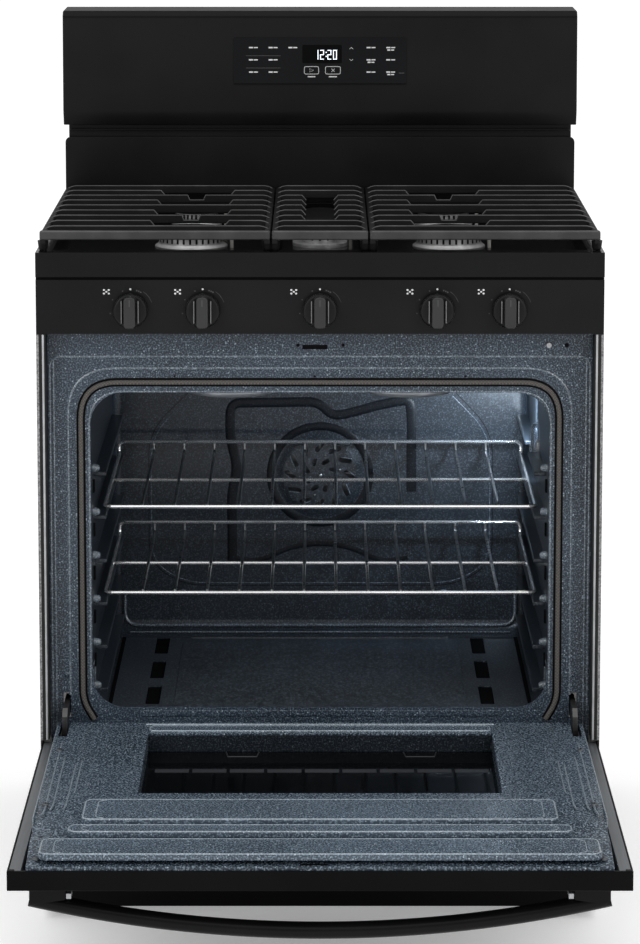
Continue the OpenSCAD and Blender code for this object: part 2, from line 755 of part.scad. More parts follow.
module knob(n) {
    r = knob_d / 2;
    color("#1d1d1d") placed() difference() {
        union() {
            rod_y(r, knob_xs[n], [skirt_y - 9, skirt_y], knob_z);
            along_y([skirt_y - 27, skirt_y - 8])
                rounded([knob_xs[n] - grip_w / 2, knob_xs[n] + grip_w / 2],
                        [knob_z - r + 2.5, knob_z + r - 2.5], grip_w / 2 - 0.5);
        }
        rod_y(stem_r + run_gap, knob_xs[n], [stem_tip - 1, skirt_y + 1], knob_z);
    }
}

// ---- backguard ----
// Front face of the console leans back towards its top
module console_sketch() {
    polygon([[guard_y + 9, console_z], [guard_y, console_z + 22],
             [guard_y + console_lean, range_h - 7], [guard_y + console_lean + 7, range_h],
             [body_d - 12, range_h], [body_d, range_h - 12], [body_d, console_z]]);
}
module backguard() {
    color("#191919") placed() difference() {
        union() {
            along_x([-half_w + 1, half_w - 1]) console_sketch();
            block([-half_w + 8, half_w - 8], [splash_y + 8, body_d], [fascia_z, console_z + 1]);
        }
        block([-half_w + 10, half_w - 10], [splash_y + 10, body_d - 2], [fascia_z - 1, console_z - 6]);
        block([-half_w + 4, half_w - 4], [guard_y + 14, body_d - 2], [console_z + 8, range_h - 14]);
        block([-118, 118], [guard_y - 2, guard_y + 15], [glass_z[0] + 6, glass_z[1] - 6]);
    }
}
lean = atan(console_lean / (backguard_h - 114 - 29));
module on_console() {
    translate([0, guard_y, console_z + 22]) rotate([-lean, 0, 0]) children();
}
module backguard_glass() {
    color("#08090a") placed() on_console() along_y([-2, -0.05])
        rounded([-127.5, 127.5], [glass_z[0] - console_z - 22, glass_z[1] - console_z - 22], 3);
}
module control_board() {
    color("#1d4a2c") placed() {
        block([-112, 112], [guard_y + 17, guard_y + 19], [glass_z[0] + 8, glass_z[1] - 8]);
        block([-30, 36], [guard_y + 6, guard_y + 18], [glass_z[0] + 30, glass_z[1] - 10]);
        block([-60, -36], [guard_y + 18, guard_y + 40], [glass_z[0] + 10, glass_z[0] + 40]);
    }
}
module backsplash() {
    color("#151515") placed() along_y([splash_y, splash_y + 3]) {
        rounded([-half_w + 3, half_w - 3], [cooktop_h + 20, console_z - 18], 8);
        translate([-half_w + 3, fascia_z]) square([range_w - 6, console_z - fascia_z - 40]);
    }
    color("#151515") placed() block([-half_w + 40, half_w - 40], [splash_y + 2, splash_y + 8],
                                    [fascia_z + 10, fascia_z + 20]);
}

side_panels();
rear_panel();
base_frame();
leveling_legs();
front_frame();
oven_liner();
oven_back();
oven_floor();
bake_burner();
broil_burner();
door_gasket();
oven_insulation();
fan_cover();
fan_motor();
oven_lamp();
lamp_lens();
hinge_arms();
cooktop();
burner_heads();
burner_caps();
igniters();
control_panel();
gas_manifold();
burner_valves();
gas_inlet();
backguard();
backguard_glass();
control_board();
backsplash();
drawer_glides();
power_inlet();
body_screws();
door_switch_plunger();
door_outer_panel();
door_frame();
door_liner();
door_inner_glass();
door_insulation();
door_top_trim();
door_handle();
door_hinge_channels();
door_screws();
drawer_front();
drawer_tub();
upper_rack();
lower_rack();
grate_left();
grate_centre();
grate_right();
convection_fan();
valve_stem(0);  // valve_stem_1
valve_stem(1);  // valve_stem_2
valve_stem(2);  // valve_stem_3
valve_stem(3);  // valve_stem_4
valve_stem(4);  // valve_stem_5
knob(0);  // knob_1
knob(1);  // knob_2
knob(2);  // knob_3
knob(3);  // knob_4
knob(4);  // knob_5
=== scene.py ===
"""Looks for a freestanding gas range with its oven open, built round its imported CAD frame."""

import logging
import math
from dataclasses import dataclass
from enum import Enum
from typing import Any, Sequence

import bmesh
import bpy
from mathutils import Matrix, Vector


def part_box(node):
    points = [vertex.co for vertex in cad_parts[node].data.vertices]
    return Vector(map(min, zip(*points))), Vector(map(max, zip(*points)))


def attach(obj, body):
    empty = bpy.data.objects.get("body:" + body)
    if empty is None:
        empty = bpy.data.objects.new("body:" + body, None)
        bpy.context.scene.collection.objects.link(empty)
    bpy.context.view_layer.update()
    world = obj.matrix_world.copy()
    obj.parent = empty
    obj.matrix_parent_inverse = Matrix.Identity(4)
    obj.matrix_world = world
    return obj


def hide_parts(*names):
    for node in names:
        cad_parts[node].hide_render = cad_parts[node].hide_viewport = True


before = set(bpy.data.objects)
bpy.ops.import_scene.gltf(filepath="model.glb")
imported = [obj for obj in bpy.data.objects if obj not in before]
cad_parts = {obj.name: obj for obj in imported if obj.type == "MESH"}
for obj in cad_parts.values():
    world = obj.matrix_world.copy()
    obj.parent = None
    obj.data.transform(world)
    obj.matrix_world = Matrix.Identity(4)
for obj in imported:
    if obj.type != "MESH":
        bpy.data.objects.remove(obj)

LOG = logging.getLogger("range")
MM = 0.001
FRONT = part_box("control_panel")[0].y
Span = tuple[float, float]
Colour = tuple[float, float, float]
Point2 = tuple[float, float]
Point3 = tuple[float, float, float]


def at(x: float, y: float, z: float) -> Vector:
    """A place in metres, from millimetres to the right, back from the control panel, and up."""
    return Vector((x * MM, FRONT + y * MM, z * MM))


def low(node: str) -> Vector:
    """A CAD node's lowest corner, in the same millimetres that `at` takes."""
    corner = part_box(node)[0]
    return Vector((corner.x, corner.y - FRONT, corner.z)) / MM


def high(node: str) -> Vector:
    """A CAD node's highest corner, in the same millimetres that `at` takes."""
    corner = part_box(node)[1]
    return Vector((corner.x, corner.y - FRONT, corner.z)) / MM


# ---------------------------------------------------------------- shading


class Sock:
    """A node's output, so that shader maths reads as plain expressions."""

    def __init__(self, shader: "Shader", link: bpy.types.NodeSocket) -> None:
        """Keeps the output and the shader it belongs to."""
        self.shader = shader
        self.link = link

    def _calc(self, operation: str, first: Any, second: Any) -> "Sock":
        """Adds one Math node over two values."""
        return self.shader.make("ShaderNodeMath", {"operation": operation}, {0: first, 1: second})

    def __add__(self, other: Any) -> "Sock":
        """Sum."""
        return self._calc("ADD", self, other)

    __radd__ = __add__

    def __sub__(self, other: Any) -> "Sock":
        """Difference."""
        return self._calc("SUBTRACT", self, other)

    def __rsub__(self, other: Any) -> "Sock":
        """Difference from a number."""
        return self._calc("SUBTRACT", other, self)

    def __mul__(self, other: Any) -> "Sock":
        """Product."""
        return self._calc("MULTIPLY", self, other)

    __rmul__ = __mul__

    def __pow__(self, other: Any) -> "Sock":
        """Power."""
        return self._calc("POWER", self, other)

    def ramp(self, start: float, end: float) -> "Sock":
        """A smooth mask.

        Args:
            start: the value at which the mask is 0.
            end: the value at which it is 1.

        Returns:
            The mask, which stays between 0 and 1.
        """
        return self.shader.make("ShaderNodeMapRange", {"interpolation_type": "SMOOTHSTEP"},
                                {"Value": self, "From Min": start, "From Max": end})


class Shader:
    """A material's nodes round one Principled shader."""

    def __init__(self, name: str) -> None:
        """Starts an empty tree."""
        self.material = bpy.data.materials.new(name)
        self.material.use_nodes = True
        self.tree = self.material.node_tree
        self.tree.nodes.clear()
        self.body = self.tree.nodes.new("ShaderNodeBsdfPrincipled")
        out = self.tree.nodes.new("ShaderNodeOutputMaterial")
        self.tree.links.new(self.body.outputs[0], out.inputs["Surface"])
        self.place = self.make("ShaderNodeTexCoord", {}, {}, "Object")

    def make(self, kind: str, settings: dict[str, Any], sockets: dict[Any, Any],
             output: str | int = 0) -> Sock:
        """Adds a node.

        Args:
            kind: the node's type.
            settings: its own options, set first.
            sockets: numbers, colours or links for its inputs.
            output: the output to return.

        Returns:
            The chosen output.
        """
        node = self.tree.nodes.new(kind)
        for key, value in settings.items():
            setattr(node, key, value)
        for key, value in sockets.items():
            self.feed(node.inputs[key], value)
        return Sock(self, node.outputs[output])

    def feed(self, socket: bpy.types.NodeSocket, value: Any) -> None:
        """Links or sets one input."""
        if isinstance(value, Sock):
            self.tree.links.new(value.link, socket)
        elif isinstance(value, tuple) and socket.type == "RGBA":
            socket.default_value = (*value, 1.0)
        else:
            socket.default_value = value

    def noise(self, scale: float, detail: float = 3.0, where: Sock | None = None) -> Sock:
        """Soft noise over the surface, at `scale` waves a metre."""
        return self.make("ShaderNodeTexNoise", {},
                         {"Vector": where or self.place, "Scale": scale, "Detail": detail})

    def cells(self, scale: float, output: str = "Distance") -> Sock:
        """Scattered cells: the distance to a cell's middle, or its own colour."""
        return self.make("ShaderNodeTexVoronoi", {}, {"Vector": self.place, "Scale": scale}, output)

    def stretched(self, scale: Point3) -> Sock:
        """The object's coordinates, stretched by a scale along each axis."""
        return self.make("ShaderNodeMapping", {}, {"Vector": self.place, "Scale": scale})

    def mix(self, mask: Any, first: Any, second: Any) -> Sock:
        """Blends two colours."""
        node = self.tree.nodes.new("ShaderNodeMix")
        node.data_type = "RGBA"
        self.feed(node.inputs[0], mask)
        self.feed(node.inputs[6], first)
        self.feed(node.inputs[7], second)
        return Sock(self, node.outputs[2])

    def bump(self, height: Sock, strength: float, depth: float = 0.0005) -> None:
        """Feeds the shader's normal from a height."""
        self.feed(self.body.inputs["Normal"], self.make(
            "ShaderNodeBump", {}, {"Strength": strength, "Distance": depth, "Height": height}))

    def set(self, **sockets: Any) -> None:
        """Sets the shader's own inputs, named with underscores for spaces."""
        for key, value in sockets.items():
            self.feed(self.body.inputs[key.replace("_", " ")], value)


_MADE: dict[str, bpy.types.Material] = {}


@dataclass(frozen=True)
class Finish:
    """A painted or moulded surface: mottled colour, uneven gloss and a fine bump."""

    name: str
    slot: str
    colour: Colour
    rough: float = 0.4
    metal: float = 0.0
    mottle: float = 0.25
    mottle_scale: float = 7.0
    grain_scale: float = 900.0
    grain: float = 0.12
    gloss: float = 0.5
    coat: float = 0.0

    def material(self) -> bpy.types.Material:
        """The finish as a material, made once."""
        if self.name not in _MADE:
            shader = Shader(self.name)
            shader.set(Metallic=self.metal, Coat_Weight=self.coat, Coat_Roughness=0.06)
            shader.set(Specular_IOR_Level=self.gloss)
            self.paint(shader)
            _MADE[self.name] = shader.material
        return _MADE[self.name]

    def tone(self, factor: float) -> Colour:
        """The finish's colour, lighter or darker."""
        return tuple(min(1.0, c * factor) for c in self.colour)

    def paint(self, shader: Shader) -> None:
        """Lays the colour, the gloss and the bump."""
        broad = shader.noise(self.mottle_scale, 4.0)
        shader.set(Base_Color=shader.mix(broad.ramp(0.3, 0.7), self.tone(1 - self.mottle),
                                         self.tone(1 + self.mottle)))
        shader.set(Roughness=broad * 0.12 + (self.rough - 0.06))
        shader.bump(shader.noise(self.grain_scale, 2.0), self.grain, 0.0002)


@dataclass(frozen=True)
class Enamel(Finish):
    """Glossy vitreous enamel with pale specks."""

    speck: Colour = (0.30, 0.36, 0.42)
    speck_amount: float = 0.8
    fleck: Colour = (0.125, 0.16, 0.20)
    flecks: float = 0.8
    fleck_scale: float = 480.0

    def paint(self, shader: Shader) -> None:
        """Lays two sizes of specks over a cloudy ground."""
        cloud = shader.noise(5.0, 3.0)
        fine = shader.noise(self.fleck_scale, 3.0)
        ground = shader.mix(cloud.ramp(0.35, 0.65), self.tone(0.8), self.tone(1.2))
        ground = shader.mix(fine.ramp(0.47, 0.66) * self.flecks, ground, self.fleck)
        small, small_seed = shader.cells(300.0), shader.cells(300.0, "Color")
        large, large_seed = shader.cells(140.0), shader.cells(140.0, "Color")
        size = self.seed(shader, small_seed) ** 3.0 * 0.34
        dots = (size - small).ramp(-0.02, 0.06)
        rare = (self.seed(shader, large_seed) ** 6.0 * 0.17 - large).ramp(-0.01, 0.03)
        specks = self.brighter(dots, rare) * self.speck_amount
        shader.set(Base_Color=shader.mix(specks, ground, self.speck))
        shader.set(Roughness=fine * 0.1 + self.rough)
        shader.bump(shader.noise(90.0, 1.0) + dots * 0.15, self.grain, 0.0004)

    def seed(self, shader: Shader, colour: Sock) -> Sock:
        """A number between 0 and 1 for each cell."""
        return shader.make("ShaderNodeSeparateColor", {}, {"Color": colour})

    def brighter(self, first: Sock, second: Sock) -> Sock:
        """The larger of two masks."""
        return first._calc("MAXIMUM", first, second)


@dataclass(frozen=True)
class Metal(Finish):
    """Bare or plated metal with a drawn grain along one axis."""

    along: Point3 = (8.0, 300.0, 300.0)

    def paint(self, shader: Shader) -> None:
        """Lays faint streaks and stains."""
        streaks = shader.noise(1.0, 3.0, shader.stretched(self.along))
        stain = shader.noise(14.0, 4.0)
        shade = shader.mix(streaks.ramp(0.3, 0.7), self.tone(0.86), self.tone(1.1))
        shader.set(Base_Color=shader.mix(stain.ramp(0.55, 0.8) * self.mottle, shade, self.tone(0.5)))
        shader.set(Roughness=streaks * 0.14 + stain * 0.08 + (self.rough - 0.1))
        shader.bump(streaks, self.grain, 0.0002)


@dataclass(frozen=True)
class Cast(Finish):
    """Rough cast iron under a matte coat."""

    def paint(self, shader: Shader) -> None:
        """Lays pits and paler high spots from wear."""
        pits = shader.noise(520.0, 4.0)
        wear = shader.noise(22.0, 5.0)
        shade = shader.mix(wear.ramp(0.4, 0.75), self.tone(0.8), self.tone(1.5))
        shader.set(Base_Color=shader.mix(pits.ramp(0.55, 0.75) * 0.4, shade, self.tone(2.2)))
        shader.set(Roughness=wear * 0.2 + (self.rough - 0.1))
        shader.bump(pits + wear * 0.6, self.grain, 0.0005)


@dataclass(frozen=True)
class Woven(Finish):
    """Braided fibre: crossing strands."""

    strand: float = 0.0022

    def paint(self, shader: Shader) -> None:
        """Lays two crossing sets of strands."""
        turns = 2 * math.pi / self.strand / 20
        waves = [shader.make("ShaderNodeTexWave", {"bands_direction": "DIAGONAL"},
                             {"Vector": shader.stretched(scale), "Scale": turns, "Distortion": 1.5,
                              "Detail": 1.0}, "Fac")
                 for scale in ((1.0, 1.0, 1.0), (-1.0, 1.0, 1.0))]
        weave = waves[0] * waves[1]
        fuzz = shader.noise(1500.0, 3.0)
        shader.set(Base_Color=shader.mix(weave + fuzz * 0.3, self.tone(0.55), self.tone(1.35)))
        shader.set(Roughness=fuzz * 0.1 + (self.rough - 0.05))
        shader.bump(weave + fuzz * 0.5, self.grain, 0.0008)


@dataclass(frozen=True)
class Glow(Finish):
    """A lit mark, such as a display's digit or a lamp."""

    power: float = 1.0

    def paint(self, shader: Shader) -> None:
        """Lays an even glow with a faint unevenness."""
        faint = shader.noise(400.0, 1.0)
        lit = shader.mix(faint, self.tone(0.92), self.tone(1.0))
        shader.set(Base_Color=lit, Emission_Color=lit, Emission_Strength=self.power,
                   Roughness=faint * 0.1 + self.rough)


@dataclass(frozen=True)
class Clear(Finish):
    """Clear glass."""

    def paint(self, shader: Shader) -> None:
        """Lets light through a faintly smeared surface."""
        smear = shader.noise(30.0, 3.0)
        shader.set(Transmission_Weight=0.9, IOR=1.45)
        shader.set(Base_Color=shader.mix(smear, self.tone(0.95), self.tone(1.0)),
                   Roughness=smear * 0.06 + self.rough)
        shader.bump(shader.noise(60.0, 1.0), self.grain, 0.0003)


PAINT = Finish("satin_black_paint", "black_paint", (0.0052, 0.0052, 0.0054), rough=0.34, gloss=0.12)
SIDE_PAINT = Finish("side_panel_paint", "black_paint", (0.010, 0.010, 0.0105), rough=0.5, grain=0.4,
                    grain_scale=420.0, gloss=0.2)
# Painted light: the console's top strip and thin lines take this colour in place of the light caught on its
# bevel and edges.
TRIM = Finish("console_painted_light_strip", "black_paint", (0.004, 0.004, 0.0042), rough=0.4, mottle=0.1,
              gloss=0.08)
GLOSS = Finish("gloss_black_enamel", "gloss_enamel", (0.003, 0.003, 0.0032), rough=0.16, gloss=0.13,
               grain=0.05, grain_scale=60.0)
BLUE = Enamel("speckled_blue_enamel", "blue_enamel", (0.016, 0.024, 0.036), rough=0.24, coat=0.08,
              grain=0.10, gloss=0.25)
CAVITY = Enamel("cavity_enamel", "blue_enamel", (0.016, 0.021, 0.028), rough=0.26, coat=0.08,
                gloss=0.3, grain=0.12, speck=(0.14, 0.17, 0.2), speck_amount=0.6,
                fleck=(0.065, 0.08, 0.098), flecks=0.75)
# Painted shade: a much darker copy of the cavity enamel, for the back wall's pressed channels and grooves.
SHADED_EMBOSS = Enamel("emboss_painted_shade_enamel", "blue_enamel", (0.004, 0.0055, 0.008), rough=0.34, gloss=0.2,
                fleck=(0.016, 0.02, 0.026), flecks=0.7,
                grain=0.1, speck=(0.05, 0.065, 0.08), speck_amount=0.5)
STEEL = Metal("bright_steel", "bare_steel", (0.55, 0.56, 0.57), rough=0.3, metal=1.0, mottle=0.3)
DULL_STEEL = Metal("heat_dulled_steel", "bare_steel", (0.12, 0.12, 0.122), rough=0.5, metal=0.8,
                   mottle=0.6)
ZINC = Metal("galvanised_sheet", "galvanised", (0.4, 0.41, 0.42), rough=0.45, metal=0.9,
             mottle=0.35, along=(60.0, 60.0, 60.0))
CHROME = Metal("chromed_wire", "chrome_wire", (0.86, 0.87, 0.88), rough=0.14, metal=0.85,
               mottle=0.1, grain=0.03)
ALUMINIUM = Metal("burner_aluminium", "aluminium", (0.42, 0.42, 0.42), rough=0.42, metal=0.9,
                  mottle=0.4, along=(120.0, 120.0, 120.0))
BRASS = Metal("drawn_brass", "brass", (0.6, 0.46, 0.2), rough=0.32, metal=1.0, mottle=0.3)
IRON = Cast("black_cast_iron", "cast_iron", (0.004, 0.004, 0.004), rough=0.55, grain=0.5, gloss=0.16)
CAPS = Cast("burner_cap_enamel", "cast_iron", (0.003, 0.003, 0.003), rough=0.45, grain=0.25,
            gloss=0.15)
GLASS = Finish("black_control_glass", "black_glass", (0.0045, 0.0048, 0.0055), rough=0.12,
               mottle=0.1, grain=0.02, gloss=0.12, grain_scale=20.0)
WINDOW = Finish("oven_window_glass", "black_glass", (0.0006, 0.0007, 0.0008), rough=0.07,
                mottle=0.15, grain=0.02, grain_scale=15.0, gloss=0.08)
TINT = Finish("window_tint_band", "black_glass", (0.002, 0.0023, 0.0027), rough=0.14, mottle=0.3,
              gloss=0.1)
KNOB = Finish("moulded_knob", "knob_plastic", (0.005, 0.005, 0.0052), rough=0.34, grain=0.2,
              grain_scale=600.0, gloss=0.14)
GRIP = Finish("knob_grip", "knob_plastic", (0.02, 0.02, 0.0205), rough=0.32, grain=0.15,
              gloss=0.25)
RUBBER = Finish("black_rubber", "rubber", (0.018, 0.018, 0.018), rough=0.75, grain=0.4)
BRAID = Woven("gasket_braid", "gasket_fibre", (0.085, 0.078, 0.073), rough=0.85, grain=0.7)
WOOL = Woven("mineral_wool_wrap", "mineral_wool", (0.55, 0.47, 0.28), rough=0.95, grain=0.9,
             strand=0.008)
CERAMIC = Finish("white_ceramic", "ceramic_white", (0.32, 0.31, 0.29), rough=0.4, mottle=0.2)
BOARD = Finish("circuit_board", "circuit_board", (0.02, 0.10, 0.04), rough=0.4, mottle=0.4,
               mottle_scale=90.0)
WHITE = Finish("white_moulding", "white_plastic", (0.3, 0.31, 0.32), rough=0.3, mottle=0.15)
PRINT = Finish("pale_print", "white_plastic", (0.55, 0.55, 0.56), rough=0.5, mottle=0.08)
FAINT = Finish("faint_print", "white_plastic", (0.04, 0.04, 0.042), rough=0.5, mottle=0.15)
DIGIT = Glow("display_digits", "white_plastic", (0.85, 0.92, 1.0), rough=0.4, power=1.1)
LAMP = Glow("oven_lamp_bulb", "ceramic_white", (0.80, 0.90, 1.0), rough=0.5, power=6.0)
LENS = Clear("lamp_lens_glass", "clear_glass", (0.85, 0.92, 1.0), rough=0.05, grain=0.2)
# Painted shade: a near-black fill set into burner slots, gaps, holes and channels where shade falls.
SHADE_FILL = Finish("painted_shade_fill", "black_paint", (0.0015, 0.0015, 0.0017), rough=0.8, gloss=0.1)
# Painted light: a lighter copy of the door panel's enamel, for the raised ribs.
LIT_TERRACE = Enamel("door_rib_enamel_painted_lit", "blue_enamel", (0.040, 0.056, 0.076), rough=0.22, coat=0.1,
                 grain=0.1, gloss=0.25, fleck=(0.20, 0.26, 0.32), flecks=0.8, fleck_scale=430.0,
                 speck=(0.4, 0.47, 0.53))
# Painted shade: a darker copy of the door enamel, for the window recess's wall.
SHADED = Enamel("recess_painted_shade_enamel", "blue_enamel", (0.005, 0.0075, 0.0105), rough=0.35, gloss=0.15,
                fleck=(0.035, 0.045, 0.056), flecks=0.8, speck=(0.1, 0.12, 0.14), speck_amount=0.6)
DOOR_BLUE = Enamel("door_panel_enamel", "blue_enamel", (0.020, 0.030, 0.043), rough=0.22, coat=0.1,
                   grain=0.1, gloss=0.25, fleck=(0.19, 0.245, 0.30), flecks=0.85, fleck_scale=400.0,
                   speck=(0.4, 0.47, 0.53))
EDGE = Enamel("lit_enamel_edge", "blue_enamel", (0.07, 0.088, 0.108), rough=0.2, coat=0.2,
              fleck=(0.24, 0.29, 0.34))
FLOOR_PAN = Enamel("oven_floor_enamel", "blue_enamel", (0.024, 0.031, 0.040), rough=0.3, coat=0.05,
                   gloss=0.3, grain=0.12, speck=(0.2, 0.24, 0.28), speck_amount=0.6,
                   fleck=(0.12, 0.145, 0.17), flecks=0.75, fleck_scale=330.0)
# Painted highlight: pale enamel beads round the ribs' edges.
RIB_HIGHLIGHT = Enamel("door_rib_painted_highlight", "blue_enamel", (0.2, 0.24, 0.28), rough=0.2, coat=0.2,
             speck=(0.55, 0.6, 0.65), speck_amount=0.8, fleck=(0.42, 0.48, 0.53))
STIPPLE = Finish("stippled_edge", "black_paint", (0.17, 0.17, 0.175), rough=0.5, mottle=0.6,
                 mottle_scale=420.0, grain=0.4)
# Painted highlight: pale enamel for lines, beads and bumps where light catches the pressings.
HIGHLIGHT = Enamel("painted_highlight_enamel", "blue_enamel", (0.10, 0.125, 0.15), rough=0.2, coat=0.2,
                speck=(0.42, 0.48, 0.53), speck_amount=0.8, fleck=(0.26, 0.31, 0.35))
RAIL = Metal("door_rail_steel", "bare_steel", (0.16, 0.17, 0.18), rough=0.4, metal=0.6, mottle=0.3,
             along=(300.0, 8.0, 300.0))
VENT = Finish("vent_bar_grey", "black_glass", (0.03, 0.032, 0.035), rough=0.3, mottle=0.2,
              gloss=0.1)
HANDLE = Finish("handle_satin_black", "black_paint", (0.0035, 0.0035, 0.0037), rough=0.3, gloss=0.1)
DRAWER = Finish("drawer_front_black", "black_paint", (0.0016, 0.0016, 0.0017), rough=0.5, gloss=0.06)
# Painted highlight: pale lines along the fascia's and the control panel's top edges.
LIP_HIGHLIGHT = Finish("fascia_lip_painted_highlight", "gloss_enamel", (0.11, 0.11, 0.112), rough=0.25, mottle=0.2, gloss=0.3)
# Painted highlight: pale strips beside the knobs' grips and pale ribs round their skirts' edges.
KNOB_HIGHLIGHT = Finish("knob_painted_highlights", "knob_plastic", (0.15, 0.15, 0.152), rough=0.3, grain=0.1, gloss=0.4)
# Painted highlight: pale lines along the grate bars' top edges and the front bars.
IRON_HIGHLIGHT = Cast("iron_painted_highlight", "cast_iron", (0.058, 0.058, 0.058), rough=0.45, grain=0.3, gloss=0.4)
# Painted light: a lighter copy of the cast iron, for the grates' front bars whose faces catch the light.
LIT_RAIL_IRON = Cast("grate_rail_iron_painted_lit", "cast_iron", (0.021, 0.021, 0.021), rough=0.5, grain=0.4, gloss=0.35)
SCREW = Metal("door_screw_steel", "bare_steel", (0.10, 0.11, 0.12), rough=0.4, metal=0.7, mottle=0.4)
TRIM_BLACK = Finish("door_trim_black", "black_paint", (0.0022, 0.0022, 0.0023), rough=0.34, gloss=0.05)
# Painted shade: a dimmer copy of the rack chrome, for the long wires.
DIM_WIRE = Metal("rack_wire_painted_dim", "chrome_wire", (0.30, 0.31, 0.32), rough=0.28, metal=1.0, mottle=0.4)
ARMS = Metal("hinge_arm_steel", "bare_steel", (0.07, 0.07, 0.07), rough=0.35, metal=0.7, mottle=0.5)
# Partly painted light: steel lightened so the broil tubes and the fan blades show as lit.
LIT_STEEL = Metal("oven_steel_painted_lit", "bare_steel", (0.3, 0.32, 0.35), rough=0.35, metal=0.5, mottle=0.5)
FLOOR = Glow("pale_floor", "white_plastic", (0.9, 0.9, 0.9), rough=0.9, gloss=0.1, power=0.3)


# ---------------------------------------------------------------- shaping


class Axis(Enum):
    """The direction in which an outline is extruded or a profile spun."""

    X = 0
    Y = 1
    Z = 2

    def lift(self, first: float, second: float, along: float) -> Vector:
        """A place from two sketch coordinates and the distance along this axis."""
        order = {Axis.X: (along, first, second), Axis.Y: (first, along, second),
                 Axis.Z: (first, second, along)}
        return at(*order[self])


def rounded(x: Span, z: Span, radius: float | tuple[float, float], steps: int = 6) -> list[Point2]:
    """A rectangle with rounded corners.

    Args:
        x: its extent in the first direction.
        z: its extent in the second direction.
        radius: the corners' radius, or the lower and the upper corners' radii.
        steps: the pieces of each corner.

    Returns:
        The outline's points in order.
    """
    lower, upper = radius if isinstance(radius, tuple) else (radius, radius)
    corners = ((x[1], z[0], -90, lower, -1, 1), (x[1], z[1], 0, upper, -1, -1),
               (x[0], z[1], 90, upper, 1, -1), (x[0], z[0], 180, lower, 1, 1))
    points = []
    for across, up, start, r, sx, sz in corners:
        if r <= 0:
            points.append((across, up))
            continue
        for k in range(steps + 1):
            turn = math.radians(start + 90 * k / steps)
            points.append((across + sx * r + r * math.cos(turn), up + sz * r + r * math.sin(turn)))
    return points


def bent(points: Sequence[Point3], radius: float, steps: int = 6) -> list[Vector]:
    """A path with its inner corners rounded.

    Args:
        points: the corners, in millimetres.
        radius: how far from a corner the bend starts.
        steps: the pieces of each bend.

    Returns:
        The path's points in metres.
    """
    path = [at(*p) for p in points]
    result = [path[0]]
    for before, corner, after in zip(path, path[1:], path[2:]):
        reach = min(radius * MM, (before - corner).length / 2, (after - corner).length / 2)
        start = corner + (before - corner).normalized() * reach
        end = corner + (after - corner).normalized() * reach
        for k in range(steps + 1):
            t = k / steps
            result.append(start * (1 - t) ** 2 + corner * 2 * t * (1 - t) + end * t * t)
    return [*result, path[-1]]


def round_about(centre: Point2, radius: float, degrees: float) -> Point2:
    """A point on a circle round a centre."""
    turn = math.radians(degrees)
    return centre[0] + radius * math.cos(turn), centre[1] + radius * math.sin(turn)


def keen(bm: bmesh.types.BMesh, sharp: float) -> list[bmesh.types.BMEdge]:
    """The edges sharper than an angle in degrees."""
    return [e for e in bm.edges if e.calc_face_angle(0.0) > math.radians(sharp)]


def bevel(bm: bmesh.types.BMesh, edges: list[bmesh.types.BMEdge], width: float,
          segments: int) -> None:
    """Rounds edges off.

    Args:
        bm: the mesh.
        edges: its edges to round.
        width: how far from each edge the rounding starts, in millimetres.
        segments: the pieces of each rounding.
    """
    bmesh.ops.bevel(bm, geom=edges, offset=width * MM, offset_type="OFFSET", affect="EDGES",
                    segments=segments, profile=0.5, material=-1, clamp_overlap=True)


MIRROR = Matrix.Diagonal((-1.0, 1.0, 1.0, 1.0))


